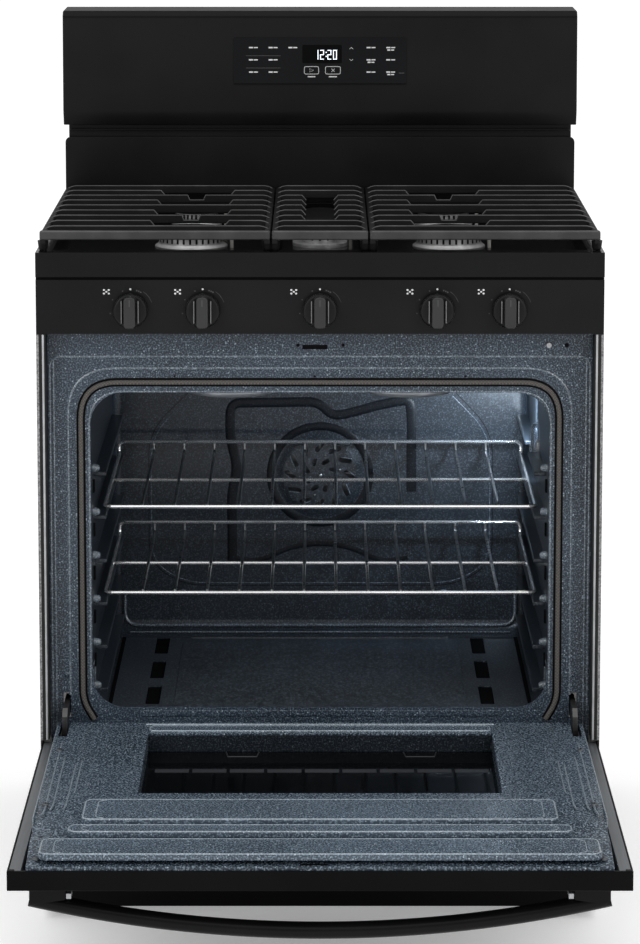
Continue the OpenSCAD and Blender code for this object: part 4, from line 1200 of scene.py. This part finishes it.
@dataclass
class OvenFront:
    """The enamelled frame round the oven's mouth, with its seal and hinge arms."""

    line: float = 1.9
    seal_half: float = 323.0
    seal_top: float = 733.0
    seal_foot: float = 266.0
    seal_corner: float = 50.0

    def build(self) -> None:
        """Builds the frame, its pressed lines, its holes and the seal."""
        self.face = low("front_frame").y
        Form.of_node("front_frame", 1.2, 3).piece("oven_front_frame", "cabinet", BLUE, "front_frame")
        self.lines()
        self.holes()
        self.seal()
        self.edges()
        Form.of_node("hinge_arms", 0.8, 2).piece("hinge_arms_pressed", "cabinet", ARMS, "hinge_arms")

    def lines(self) -> None:
        """The pressed lines: a border in two parts and the rib below the mouth."""
        form = Form()
        sunk = self.face + 0.8
        for x, top in ((364.6, 768), (359.6, 763)):
            corners = [(-x, sunk, 250), (-x, sunk, top), (x, sunk, top), (x, sunk, 250)]
            form.wire(bent(corners if top > 765 else corners[:2], 16), self.line)
            if top < 765:
                form.wire(bent(corners[2:], 16), self.line)
        edge = 340.5
        mouth = [(-edge, sunk, 300), (-edge, sunk, 752), (edge, sunk, 752), (edge, sunk, 300)]
        form.wire(bent(mouth, 66, 10), self.line)
        inner = 312.0
        lip = [(-inner, sunk, 300), (-inner, sunk, 720), (inner, sunk, 720), (inner, sunk, 300)]
        form.wire(bent(lip, 48, 10), 1.4)
        form.piece("front_frame_lines", "cabinet", EDGE)
        rib = Form().block((-243, 245), (self.face - 1.6, self.face + 1), (270, 278.5), 1.4, 3)
        rib.piece("front_frame_rib", "cabinet", BLUE)

    def holes(self) -> None:
        """Painted shade behind the slots, the screw holes and a dimple, and below the frame's foot."""
        form = Form()
        latch = (high("door_switch_plunger").z + low("door_switch_plunger").z) / 2 - 3
        form.block((-24.5, 10.5), (self.face + 1, self.face + 2.5), (latch - 3.0, latch + 5.6), 0.4)
        for x, z, r in ((-29.7, 783.5, 2.3), (31.3, 783.5, 2.3), (332, 783.5, 3.0), (-7, 741, 1.5),
                        (-196, 741, 1.5), (196, 741, 1.5)):
            form.lathe([(0, -0.25), (r, -0.25), (r, 0.6), (0, 0.6)], Axis.Y, (x, self.face, z), 16)
        foot = low("front_frame").z
        form.block((-364, 364), (self.face + 1, self.face + 3.5), (foot - 12, foot + 0.6), 0.4)
        # Painted shade: these dark backs fill the openings and the gap below the frame.
        form.piece("front_frame_hole_shade", "cabinet", SHADE_FILL)
        dimples = Form()
        for x in (-344.7, 344.7):
            dimples.lathe([(0, -1.2), (2.6, -1.0), (4.4, 0.2), (0, 0.6)], Axis.Y,
                          (x, self.face, 328), 20)
        dimples.piece("front_frame_dimples", "cabinet", BLUE)

    def seal(self) -> None:
        """The braided seal with painted shade for the channel round it, and its ends tucked in."""
        x, top, foot = self.seal_half, self.seal_top, self.seal_foot
        path = [(-x + 15, 0, foot), (-x, 0, foot + 26), (-x, 0, top), (x, 0, top),
                (x, 0, foot + 26), (x - 15, 0, foot)]
        # The channel is painted shade: a flat dark band round the braid.
        for name, radius, depth, squash, finish, nodes in (
                ("door_seal_braid", 3.2, self.face - 1.8, 0.8, BRAID, ("door_gasket",)),
                ("door_seal_channel_shade", 6.6, self.face + 0.4, 0.16, SHADE_FILL, ())):
            form = Form().wire(bent(path, self.seal_corner, 10), radius, 3)
            form.flattened(depth, squash).piece(name, "cabinet", finish, *nodes)

    def edges(self) -> None:
        """The side panels' front edges: a stippled outer lip and a bright inner line."""
        outer, inner = Form(), Form()
        x = high("side_panels").x
        foot, head = high("drawer_front").z + 40, low("control_panel").z - 1
        outer.block((x - 3.4, x + 0.1), (-0.8, 1.5), (foot, head), 0.5).mirrored()
        outer.piece("side_panel_lips", "cabinet", STIPPLE)
        inner.block((x - 10.4, x - 7.6), (-0.7, 1.5), (foot, head), 0.5).mirrored()
        inner.piece("side_panel_bright_edges", "cabinet", ZINC)
        Form.of_node("side_panels").piece("side_panels_painted", "cabinet", SIDE_PAINT, "side_panels")


@dataclass
class Cavity:
    """The oven's inside: its shell, floor, back wall pressings, fan cover and lamp."""

    corner: float = 14.0
    cove: float = 30.0
    wall: float = 1.5
    band: float = 9.0
    slot_first: float = 115.0
    slot_pitch: float = 143.0
    slot_length: float = 100.0
    slot_half: float = 10.0
    slot_inset: float = 77.0
    guide_rise: float = 34.0
    guide_pitch: float = 61.0
    guide_count: int = 6
    lamp_clear: float = 40.0
    fan_ring: float = 74.0
    slot_lean: float = 38.0

    def build(self) -> None:
        """Builds the shell and everything pressed into it."""
        self.half = low("lamp_lens").x + 13.0
        self.near, self.back = low("oven_liner").y, low("oven_back").y
        self.base, self.roof = low("oven_liner").z + 1.5, high("oven_liner").z - 1.5
        self.floor_z = high("oven_floor").z
        self.fan = (low("fan_cover").z + high("fan_cover").z) / 2
        self.lamp = (low("oven_lamp") + high("oven_lamp")) / 2
        self.shell()
        self.floor()
        self.pressings()
        self.fan_cover()
        self.guides()
        self.light()

    def shell(self) -> None:
        """The wrapper and the back wall in one rounded shell, with a cove at its foot."""
        form = Form()
        form.block((-self.half, self.half), (self.near, self.back), (self.base, self.roof))
        bm = form.bm
        front = [f for f in bm.faces if f.normal.y < -0.9]
        bmesh.ops.delete(bm, geom=front, context="FACES")
        inner = [e for e in bm.edges if not e.is_boundary]
        bevel(bm, inner, self.corner, 6)
        bmesh.ops.reverse_faces(bm, faces=bm.faces)
        bmesh.ops.solidify(bm, geom=bm.faces[:], thickness=-self.wall * MM)
        bmesh.ops.recalc_face_normals(bm, faces=bm.faces)
        tool = Form().lathe([(0, -4), (66, -4), (66, 8), (0, 8)], Axis.Y, (0, self.back, self.fan), 40)
        tool.lathe([(0, -4), (33.8, -4), (33.8, 6), (0, 6)], Axis.X,
                   (self.half, self.lamp.y, self.lamp.z), 32)
        form.cut(tool)
        form.piece("oven_shell", "cabinet", CAVITY, "oven_liner", "oven_back")
        arc = [(self.back - self.cove + self.cove * math.sin(math.radians(a)),
                self.floor_z + self.cove - self.cove * math.cos(math.radians(a)))
               for a in range(0, 91, 10)]
        outline = [*arc, (self.back + 0.5, self.floor_z + self.cove), (self.back + 0.5, self.floor_z - 2)]
        cove = Form().prism([*outline, (self.back - self.cove, self.floor_z - 2)][::-1], Axis.X,
                            (-self.half + 12, self.half - 12))
        cove.piece("oven_back_cove", "cabinet", CAVITY)

    def slots(self) -> list[Point2]:
        """The floor's slots: the middle across and the front end of each."""
        return [(side * (self.half - self.slot_inset), self.near + self.slot_first + self.slot_pitch * k)
                for side in (-1, 1) for k in range(3)]

    def floor(self) -> None:
        """The lift-out floor with its slots, its raised field and its rear ridge."""
        near, far = low("oven_floor"), high("oven_floor")
        form = Form().block((near.x, far.x), (near.y, far.y), (near.z, far.z - 1), 0.4)
        slots = Form()
        for x, start in self.slots():
            slots.prism(rounded((x - self.slot_half, x + self.slot_half),
                                (start, start + self.slot_length), 3.0, 4), Axis.Z,
                        (near.z - 2, far.z + 3))
        form.cut(slots)
        form.prism(rounded((-205, 205), (near.y + 18, far.y - 40), 14.0), Axis.Z,
                   (far.z - 2, far.z), 0.9, 2, 60.0)
        form.piece("oven_floor_panel", "cabinet", FLOOR_PAN, "oven_floor")
        ridge = Form().wire(bent([(-192, far.y - 27, far.z - 1.5), (192, far.y - 27, far.z - 1.5)], 1), 4.0)
        ridge.piece("oven_floor_ridge", "cabinet", CAVITY)
        # Painted shade: dark strips in the gaps beside the floor and under its slots.
        dark = Form().block((self.half - 21, self.half - 15.5), (near.y + 14, far.y - 22),
                            (far.z - 1.5, far.z + 0.3), 0.1).mirrored()
        for x, start in self.slots():
            dark.block((x - self.slot_half - 2, x + self.slot_half + 2),
                       (start - 3, start + self.slot_length + 3), (near.z - 2, near.z - 0.6), 0.2)
        dark.piece("oven_floor_gap_shade", "cabinet", SHADE_FILL)

    def on_wall(self, corners: Sequence[Point2], bend: float, half: float, rise: float,
                closed: bool = False) -> Form:
        """A flattened pressing along corners on the back wall.

        Args:
            corners: pairs across and up.
            bend: the rounding of its corners.
            half: half of its width.
            rise: how far it stands off the wall.
            closed: whether it is a loop.

        Returns:
            The form.
        """
        path = bent([(x, 0, z) for x, z in corners], bend, 8)
        return Form().wire(path, half, 3, closed).flattened(self.back, rise / half)

    def pressings(self) -> None:
        """The channels, the fine border and the crease across the back wall, painted dark as the shade in the
        pressings.
        """
        # Painted shade: the channels, the ring round the fan and the border take a darker enamel than the
        # wall.
        wide = self.on_wall([(-132, 366), (-132, 430), (-133, 470), (-124, 510), (-135, 560),
                             (-134, 609), (-4, 611), (18, 591), (34, 591), (96, 608), (134, 614),
                             (137, 590), (137, 474)], 16, self.band, 2.6)
        wide.add(self.on_wall([(-132, 372), (-90, 366), (-50, 388), (0, 396), (50, 388), (90, 366),
                               (132, 372)], 26, self.band * 0.7, 2.0))
        ring = [round_about((0, self.fan), self.fan_ring, a) for a in range(0, 360, 8)]
        wide.add(self.on_wall([*ring, ring[0], ring[1]], 0.5, 7.5, 3.0))
        wide.piece("back_wall_channels", "cabinet", SHADED_EMBOSS)
        fine = self.on_wall([(-196, 626), (-257, 566), (-257, 364), (-205, 330), (205, 330),
                             (259, 364), (259, 566), (202, 626)], 40, 3.6, 1.6)
        fine.add(self.on_wall([(-250, 560), (-250, 368), (-200, 338), (200, 338), (252, 368),
                               (252, 560)], 40, 1.6, 1.4))
        for x0, x1 in ((-293, -142), (-124, -62), (60, 128), (146, 293)):
            fine.add(self.on_wall([(x0, 563), (x1, 563)], 1, 3.6, 1.4))
        fine.piece("back_wall_border", "cabinet", SHADED_EMBOSS)
        glints = self.on_wall([(-192, 620), (-253, 562), (-253, 366), (-203, 334), (203, 334),
                               (255, 366), (255, 562), (198, 620)], 40, 1.1, 1.9)
        glints.piece("back_wall_border_edges", "cabinet", EDGE)
        # Painted highlight: pale lines along the back wall's side edges and over two small arches near its
        # foot.
        edges = self.on_wall([(-296.5, 312), (-296.5, 640)], 1, 1.2, 1.0)
        edges.add(self.on_wall([(296.5, 312), (296.5, 640)], 1, 1.2, 1.0))
        for x in (-206, 186):
            edges.add(self.on_wall([(x - 8, 316), (x - 3, 322), (x + 3, 322), (x + 8, 316)], 3, 2.2, 3.0))
        edges.add(self.on_wall([(-306, 312), (-306, 640)], 1, 1.2, 1.0))
        edges.piece("back_wall_edges", "cabinet", HIGHLIGHT)
        foot = Form().wire(bent([(-294, self.back - 2.4, self.floor_z + 60),
                                 (-294, self.back - 7.5, self.floor_z + 14),
                                 (294, self.back - 7.5, self.floor_z + 14),
                                 (294, self.back - 2.4, self.floor_z + 60)], 22), 2.4)
        foot.wire([at(x, self.back - 16, self.floor_z + 5.4) for x in (-286, 286)], 1.2)
        foot.piece("back_wall_foot_line", "cabinet", EDGE)

    def fan_cover(self) -> None:
        """The pierced cover: a shallow dish with slanting slots round its middle."""
        spot = (0, self.back, self.fan)
        form = Form().lathe([(0, -6), (52, -6), (58, -4.5), (66, -1.5), (72, -1.2), (72, 0.4), (0, 0.4)],
                            Axis.Y, spot, 56)
        tool = Form()
        home = Matrix.Translation(at(*spot))
        for ring, count, reach, half in ((0, 12, (34, 54), 3.6), (1, 8, (15, 28), 3.0)):
            for k in range(count):
                slot = Form().prism(rounded(reach, (self.fan - half, self.fan + half), half - 0.1, 3),
                                    Axis.Y, (self.back - 12, self.back + 4))
                tilt = Matrix.Translation(Vector((sum(reach) / 2 * MM, 0, 0)))
                lean = tilt @ Matrix.Rotation(math.radians(self.slot_lean), 4, "Y") @ tilt.inverted()
                spin = Matrix.Rotation(2 * math.pi * (k + ring / 2) / count, 4, "Y")
                tool.add(slot.turned(home @ spin @ lean @ home.inverted()))
        form.cut(tool)
        form.piece("fan_cover_pierced", "cabinet", CAVITY, "fan_cover")
        # Painted highlight: pale wires along some of the slots' edges.
        highlight_beads = Form()
        for k in range(12):
            turn = 2 * math.pi * k / 12
            lean = turn + math.radians(self.slot_lean)
            x, z = 45 * math.cos(turn), self.fan - 45 * math.sin(turn)
            reach = 8.5 if k % 3 else 5.0
            highlight_beads.wire([at(x + d * math.cos(lean) + 3.4 * math.sin(lean), self.back - 6.2,
                          z - d * math.sin(lean) + 3.4 * math.cos(lean)) for d in (-reach, 0, reach)], 0.9)
        highlight_beads.piece("fan_cover_slot_rims", "cabinet", HIGHLIGHT)
        hub = Form().ball((0, self.back - 6, self.fan), 3.4, 16)
        for k in range(6):
            x, z = round_about((0, self.fan), 31, 60 * k + 15)
            hub.ball((x, self.back - 6, z), 1.9, 12)
        hub.piece("fan_cover_screws", "cabinet", STEEL)

    def guides(self) -> None:
        """The rack guides along both sides, with the pressed stops at their front ends in painted highlight
        and painted shade in the slots below them.
        """
        form, holes, studs = Form(), Form(), Form()
        y0, y1 = self.near + 70, self.back - 20
        for k in range(self.guide_count):
            z = self.floor_z + self.guide_rise + self.guide_pitch * k
            near_lamp = abs(z - self.lamp.z) < self.lamp_clear
            for side in (-1, 1):
                spans = [(y0, y1)]
                if near_lamp and side > 0:
                    spans = [(y0, self.lamp.y - self.lamp_clear), (self.lamp.y + self.lamp_clear, y1)]
                for span in spans:
                    x = sorted((side * (self.half - 18), side * (self.half + 0.7)))
                    form.block((x[0], x[1]), span, (z - 6, z), 1.6, 3)
                studs.lathe([(0, -11), (3, -10.5), (5, -8), (6.5, 0.6), (0, 0.6)] if side > 0 else
                            [(0, -0.6), (6.5, -0.6), (5, 8), (3, 10.5), (0, 11)], Axis.X,
                            (side * self.half, y0 - 22, z + 10), 20)
                x = sorted((side * (self.half - 4), side * (self.half + 0.5)))
                holes.block((x[0], x[1]), (y0 - 27, y0 - 17), (z - 24, z - 6), 0.8)
        form.piece("rack_guides", "cabinet", CAVITY)
        # Painted highlight on the stops.
        studs.piece("rack_stops", "cabinet", HIGHLIGHT)
        # Painted shade in the slots below the stops.
        holes.piece("rack_stop_slot_shade", "cabinet", SHADE_FILL)
        foot = Form().block((self.half - 12, self.half + 0.7), (self.near + 4, self.back - 1),
                            (self.floor_z - 9, self.floor_z - 3), 0.8).mirrored()
        foot.piece("floor_ledges", "cabinet", CAVITY)
        # Painted highlight: pale lines along the side walls' pressings.
        fins = Form()
        for side in (-1, 1):
            x = side * (self.half - 1)
            for shape in (((60, 336), (96, 336), (96, 300), (60, 336)), ((52, 330), (58, 296), (84, 280))):
                fins.wire(bent([(x, y, z) for y, z in shape], 6), 1.5, 1)
        fins.piece("oven_side_pressings", "cabinet", HIGHLIGHT)

    def light(self) -> None:
        """The lamp's glass dome over a lit bulb."""
        x, y, z = self.half, self.lamp.y, self.lamp.z
        dome = Form().lathe([(0, -13), (20, -12.6), (27, -11), (31.5, -7.5), (33.4, -2), (33.4, 1.5),
                             (31.4, 1.5), (31.2, -3), (28.6, -7), (24, -9.4), (0, -11)],
                            Axis.X, (x, y, z), 40)
        dome.piece("lamp_dome", "cabinet", LENS, "lamp_lens")
        ring = Form().lathe([(33.6, -1.5), (38, -1.5), (39.5, 0.2), (33.6, 0.2), (33.6, -1.5)],
                            Axis.X, (x, y, z), 40)
        ring.piece("lamp_ring", "cabinet", STEEL)
        bulb = Form().ball((x - 1, y, z), 8.6, 20)
        bulb.piece("lamp_bulb", "cabinet", LAMP)
        dress(CERAMIC, "oven_lamp")


@dataclass
class Door:
    """The open oven door: outer glass, pressed inner panel, window and handle."""

    half_liner: float = 355.0
    rim_rise: float = 24.0
    line: float = 1.5
    bar_count: int = 9
    bar_pitch: float = 49.5
    handle_drop: float = 65.0
    handle_bow: float = 41.0
    handle_radius: float = 10.5
    handle_steps: int = 24

    def build(self) -> None:
        """Builds the door's pieces from the outside in."""
        self.near, self.far = high("door_outer_panel").y, low("door_top_trim").y
        self.face = low("door_outer_panel").z
        self.rim, self.plug = self.face + self.rim_rise, high("door_liner").z
        self.half = high("door_outer_panel").x
        self.panel()
        self.liner()
        self.terraces()
        self.window()
        self.screws()
        self.trim()
        self.handle()
        Form.of_node("door_hinge_channels").piece("hinge_channels", "oven_door", DULL_STEEL,
                                                  "door_hinge_channels")

    def panel(self) -> None:
        """The outer glass and the pale side rails."""
        Form.of_node("door_outer_panel", 0.8, 2).piece("door_outer_glass", "oven_door", GLASS,
                                                       "door_outer_panel")
        Form.of_node("door_frame", 0.9, 2).piece("door_side_rails", "oven_door", RAIL, "door_frame")
        strip = Form().block((self.half - 1.9, self.half), (self.far + 88, self.near - 2),
                             (self.face + 4, self.rim + 0.6), 0.5).mirrored()
        strip.piece("door_edge_strips", "oven_door", TRIM_BLACK)

    def liner(self) -> None:
        """The pressed inner panel with its window opening, and painted highlight lines along its side
        pressings and its edges.
        """
        Form.of_node("door_liner", 1.0, 2).piece("door_inner_panel", "oven_door", DOOR_BLUE, "door_liner")
        # Painted highlight: pale lines along the side pressings.
        lines = Form()
        for x, y0, y1 in ((343.5, -84, -420), (334.5, -150, -400), (318, -190, -395), (311, -170, -340)):
            for side in (-1, 1):
                top = self.plug - 0.5
                path = bent([(side * x, y0, top - 2), (side * x, y0 - 14, top), (side * x, y1 + 14, top),
                             (side * (x + 3), y1, top - 2)], 8)
                lines.wire(path, self.line, 1)
        lines.piece("door_panel_lines", "oven_door", HIGHLIGHT)
        # Painted highlight: a pale strip along the panel's raised side edges.
        border = Form().block((self.half_liner - 0.6, self.half_liner + 1.2),
                              (self.far + 130, self.near - 22),
                              (self.rim + 1, self.plug + 0.2), 0.6).mirrored()
        border.piece("door_panel_edges", "oven_door", HIGHLIGHT)

    def terraces(self) -> None:
        """The stepped ribs, in a lighter copy of the panel's enamel as painted light, with painted highlight
        beads round their edges: one beyond the hinge and three towards the far edge.
        """
        form, highlight_beads = Form(), Form()
        top = self.plug
        for half, y, z in ((231, (-43, -15), top + 1.8), (296, (-449, -361), top + 1.4),
                           (311, (-487, -455), top - 3.0), (341, (-562, -497), top - 8.0)):
            corner = 12.0 if half > 240 else 8.0
            form.prism(rounded((-half, half), y, corner, 6), Axis.Z, (z - 9, z), 2.6, 3, 60.0)
            rim = rounded((2.2 - half, half - 2.2), (y[0] + 2.2, y[1] - 2.2), corner - 2, 6)
            # Painted highlight: a pale bead round each rib.
            highlight_beads.wire([at(a, b, z - 0.8) for a, b in rim], 1.3, 1, True)
            if half > 240:
                inner = rounded((18 - half, half - 18), (y[0] + 6, y[1] - 6), 10.0, 6)
                for part in (inner[14:], inner[:14]):
                    highlight_beads.wire([at(a, b, z - 0.6) for a, b in part], 1.0, 1)
        highlight_beads.wire([at(-236, -4, top - 0.4), at(236, -4, top - 0.4)], 1.6, 1)
        form.piece("door_panel_terraces", "oven_door", LIT_TERRACE)
        highlight_beads.piece("door_terrace_rims", "oven_door", RIB_HIGHLIGHT)

    def window(self) -> None:
        """The inner glass, its tint bands and the vent bar seen through it."""
        near, far = low("door_inner_glass"), high("door_inner_glass")
        pane = Form().prism(rounded((near.x, far.x), (near.y, far.y), 8.0), Axis.Z, (near.z, far.z),
                            0.6, 2, 60.0)
        pane.piece("door_window_pane", "oven_door", WINDOW, "door_inner_glass")
        top = far.z
        band = Form().block((near.x + 12, far.x - 12), (far.y - 66, far.y - 12), (top - 0.3, top + 0.15), 0.1)
        band.piece("window_tint", "oven_door", TINT)
        bars = Form()
        for k in range(self.bar_count):
            x = -218 + self.bar_pitch * k
            bars.block((x, x + 45), (far.y - 111, far.y - 95), (top - 0.3, top + 0.15), 0.1)
        bars.piece("window_vent_bars", "oven_door", VENT)
        marks = Form()
        for x in (-104, 134):
            path = ((x - 22, -54), (x - 19, -76), (x + 19, -76), (x + 22, -54))
            marks.wire([at(a, b, top) for a, b in path], 1.1, 0)
        marks.piece("window_clips", "oven_door", VENT)
        # Painted shade: a dark sheet over the recess wall.
        wall = Form().block((near.x + 10.3, far.x - 10.3), (far.y - 11.4, far.y - 10.4),
                            (top + 0.3, self.plug - 2), 0.3)
        wall.piece("window_recess_shade_sheet", "oven_door", SHADED)

    def screws(self) -> None:
        """Pan-head screws that hold the inner panel, with painted shade in their cross recesses and in the
        latch slot.
        """
        form, slots = Form(), Form()
        near = low("door_screws")
        heads = ((-134, self.plug), (-383, self.plug), (-545, self.plug - 20.5))
        for side in (-1, 1):
            for y, z in heads:
                x = side * 344.0
                form.lathe([(0, -26), (2.3, -26), (2.3, 0), (4.6, 0), (4.4, 1.4), (3.2, 2.3), (0, 2.6)],
                           Axis.Z, (x, y, max(z, near.z + 20)), 20)
                slots.block((x - 2.6, x + 2.6), (y - 0.5, y + 0.5), (z + 2.2, z + 2.75), 0.1)
                slots.block((x - 0.5, x + 0.5), (y - 2.6, y + 2.6), (z + 2.2, z + 2.75), 0.1)
        form.piece("door_screw_heads", "oven_door", SCREW, "door_screws")
        # Painted shade in each screw's cross recess.
        slots.piece("door_screw_cross_shade", "oven_door", SHADE_FILL)
        # Painted shade: a dark block in the latch slot.
        latch = Form().block((-24, 10), (self.far + 9, self.far + 15),
                             (self.plug - 24, self.plug - 22.2), 0.4)
        latch.piece("door_latch_slot_shade", "oven_door", SHADE_FILL)

    def trim(self) -> None:
        """The black trim along the far edge with its end caps."""
        near, far = low("door_top_trim"), high("door_top_trim")
        form = Form().block((near.x, far.x), (near.y, near.y + 5), (near.z, far.z), 1.2, 3)
        for side in (-1, 1):
            x = sorted((side * (far.x - 1.8), side * far.x))
            form.block((x[0], x[1]), (near.y + 2, near.y + 88), (near.z + 4, far.z), 0.6)
            x = sorted((side * (far.x - 9), side * far.x))
            form.block((x[0], x[1]), (near.y + 1, near.y + 9), (far.z - 6, far.z + 0.4), 0.9)
        form.piece("door_far_trim", "oven_door", TRIM_BLACK, "door_top_trim")

    def handle(self) -> None:
        """The bowed bar, its end blocks and the bright collars beside them."""
        near, far = low("door_handle"), high("door_handle")
        y = (near.y + far.y) / 2
        end, bow, steps = far.x - 0.5, self.handle_bow, self.handle_steps
        radius = (end * end + bow * bow) / (2 * bow)
        reach = math.asin(end / radius)
        z0 = self.face - self.handle_drop
        turns = [reach * k / steps for k in range(-steps, steps + 1)]
        path = [at(radius * math.sin(t), y, z0 + radius * (1 - math.cos(t))) for t in turns]
        bar = Form().wire(path, self.handle_radius, 5)
        home = Matrix.Translation(at(0, y, 0))
        bar.turned(home @ Matrix.Diagonal((1.0, 1.04, 1.0, 1.0)) @ home.inverted())
        for side in (-1, 1):
            shape = [(end - 45, self.face), (end, self.face), (end, self.face - 24),
                     (end - 6, self.face - 30), (end - 45, self.face - 24)]
            bar.prism([(side * a, b) for a, b in shape][::side], Axis.Y, (y - 11, y + 11), 2.0, 3, 25.0)
        bar.piece("door_handle_bar", "oven_door", HANDLE, "door_handle")
        collar = Form().block((end - 51.5, end - 45.2), (y - 11.3, y + 9), (self.face - 22, self.face - 15),
                              0.8).mirrored()
        collar.piece("handle_collars", "oven_door", ZINC)


@dataclass
class Racks:
    """Two chromed racks: heavy frame wires under a row of long wires."""

    heavy: float = 3.1
    fine: float = 2.2
    wires: int = 12
    bead: float = 3.9
    upstand: float = 20.0

    def build(self) -> None:
        """Builds each rack on its own body."""
        for name in ("upper_rack", "lower_rack"):
            self.rack(name)

    def rack(self, name: str) -> None:
        """One rack, from its CAD node's box."""
        near, far = low(name), high(name)
        x, z = far.x - self.bead, near.z + self.bead
        y0, y1 = near.y + self.bead, far.y - self.bead
        form, fine = Form(), Form()
        rear = z + self.upstand
        loop = bent([(0, y0, z), (x, y0, z), (x, y1, z), (x, y1, rear), (-x, y1, rear), (-x, y1, z),
                     (-x, y0, z), (0, y0, z)], 10)
        form.wire(loop[:-1], self.heavy - 0.3, 2, True)
        form.wire([at(-x, (y0 + y1) / 2, z), at(x, (y0 + y1) / 2, z)], self.heavy - 0.4, 2)
        top = z + self.heavy + self.fine - 1.0
        span = 2 * (far.x - 0.4 - 56)
        for k in range(self.wires):
            wx = -span / 2 + span * k / (self.wires - 1)
            fine.wire(bent([(wx, y0 - 1, top - 3), (wx, y0 + 1.5, top), (wx, y1, top),
                            (wx, y1 + 2.4, top + 3), (wx, y1 + 2.4, rear)], 3), self.fine, 1)
        form.piece(f"{name}_frame", name, CHROME, name)
        # The long wires take the dimmer chrome: painted shade.
        fine.piece(f"{name}_long_wires", name, DIM_WIRE)


@dataclass
class Drawer:
    """The storage drawer's front and tub."""

    def build(self) -> None:
        """Builds the front with softened edges and dresses the tub."""
        form = Form.of_node("drawer_front", 1.2, 2)
        form.piece("drawer_front_panel", "storage_drawer", DRAWER, "drawer_front")
        Form.of_node("drawer_tub").piece("drawer_tub_pressed", "storage_drawer", ZINC, "drawer_tub")


@dataclass
class Works:
    """The pieces that keep their CAD shape, with their finishes."""

    def build(self) -> None:
        """Dresses every carried node."""
        dress(ZINC, "rear_panel", "base_frame", "drawer_glides")
        dress(RUBBER, "leveling_legs", "power_inlet")
        dress(DULL_STEEL, "bake_burner", "fan_motor")
        # Broil burner and fan in the lightened steel, partly painted light.
        dress(LIT_STEEL, "broil_burner", "convection_fan")
        dress(WOOL, "oven_insulation", "door_insulation")
        dress(CERAMIC, "igniters")
        dress(BRASS, "gas_manifold", "burner_valves")
        dress(ALUMINIUM, "gas_inlet")
        dress(BOARD, "control_board")
        dress(STEEL, "body_screws", *(f"valve_stem_{n}" for n in range(1, 6)))
        dress(WHITE, "door_switch_plunger")


@dataclass
class Studio:
    """The camera, the soft lights and the pale floor."""

    eye: Point3 = (0.0, -4782.0, 1577.0)
    pitch: float = 8.38
    lens: float = 138.23
    sensor: float = 36.0
    shift: float = -0.2
    floor_half: float = 30.0
    surround: float = 0.6
    sun_power: float = 1.35
    sun_spread: float = 80.0
    sun_tilt: float = 18.0
    front_power: float = 40.0
    lamp_power: float = 1.6

    def build(self) -> None:
        """Sets everything round the range."""
        self.camera()
        self.floor()
        self.lights()

    def camera(self) -> None:
        """The camera, in front of the range and looking slightly down."""
        data = bpy.data.cameras.new("camera")
        data.lens, data.sensor_width, data.shift_y = self.lens, self.sensor, self.shift
        camera = bpy.data.objects.new("camera", data)
        camera.location = at(*self.eye)
        camera.rotation_euler = (math.radians(90 - self.pitch), 0.0, 0.0)
        bpy.context.scene.collection.objects.link(camera)
        bpy.context.scene.camera = camera

    def floor(self) -> None:
        """The plain pale floor."""
        bm = bmesh.new()
        bmesh.ops.create_grid(bm, x_segments=1, y_segments=1, size=self.floor_half)
        mesh = bpy.data.meshes.new("floor")
        bm.to_mesh(mesh)
        bm.free()
        mesh.materials.append(FLOOR.material())
        floor = bpy.data.objects.new("floor", mesh)
        bpy.context.scene.collection.objects.link(floor)

    def area(self, name: str, place: Point3, aim: Point3, size: Span, power: float,
             colour: Colour = (1.0, 1.0, 1.0)) -> None:
        """Adds one soft light.

        Args:
            name: its name.
            place: where it hangs, in metres.
            aim: the point that it faces.
            size: its width and height.
            power: its power in watts.
            colour: its colour.
        """
        data = bpy.data.lights.new(name, "AREA")
        data.shape, data.size, data.size_y = "RECTANGLE", size[0], size[1]
        data.energy, data.color = power, colour
        light = bpy.data.objects.new(name, data)
        light.location = place
        light.rotation_euler = (Vector(aim) - Vector(place)).to_track_quat("-Z", "Y").to_euler()
        bpy.context.scene.collection.objects.link(light)

    def lights(self) -> None:
        """A pale surround, a large light overhead and two beside the camera."""
        world = bpy.data.worlds.new("surround")
        world.use_nodes = True
        ground = world.node_tree.nodes["Background"]
        ground.inputs["Color"].default_value = (1.0, 1.0, 1.0, 1.0)
        ground.inputs["Strength"].default_value = self.surround
        bpy.context.scene.world = world
        bpy.context.scene.view_settings.view_transform = "Standard"
        sky = bpy.data.lights.new("overhead", "SUN")
        sky.energy, sky.angle = self.sun_power, math.radians(self.sun_spread)
        overhead = bpy.data.objects.new("overhead", sky)
        overhead.rotation_euler = (math.radians(self.sun_tilt), 0.0, 0.0)
        bpy.context.scene.collection.objects.link(overhead)
        for name, side in (("left_front", -1), ("right_front", 1)):
            self.area(name, (side * 2.6, -3.2, 2.2), (0.0, 0.0, 0.6), (1.4, 2.2), self.front_power)
        self.area("oven_lamp_light", tuple(at(286, 300, 640)), tuple(at(150, 560, 660)),
                  (0.05, 0.05), self.lamp_power, (0.72, 0.86, 1.0))


def main() -> None:
    """Builds the range round its frame, then the studio."""
    logging.basicConfig(level=logging.INFO, format="%(message)s")
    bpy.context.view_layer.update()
    for part in (Console(), Cooktop(), Grates(), Knobs(), OvenFront(), Cavity(), Door(), Racks(),
                 Drawer(), Works()):
        LOG.info("-- %s", type(part).__name__)
        part.build()
    Studio().build()


if __name__ == "__main__":
    main()
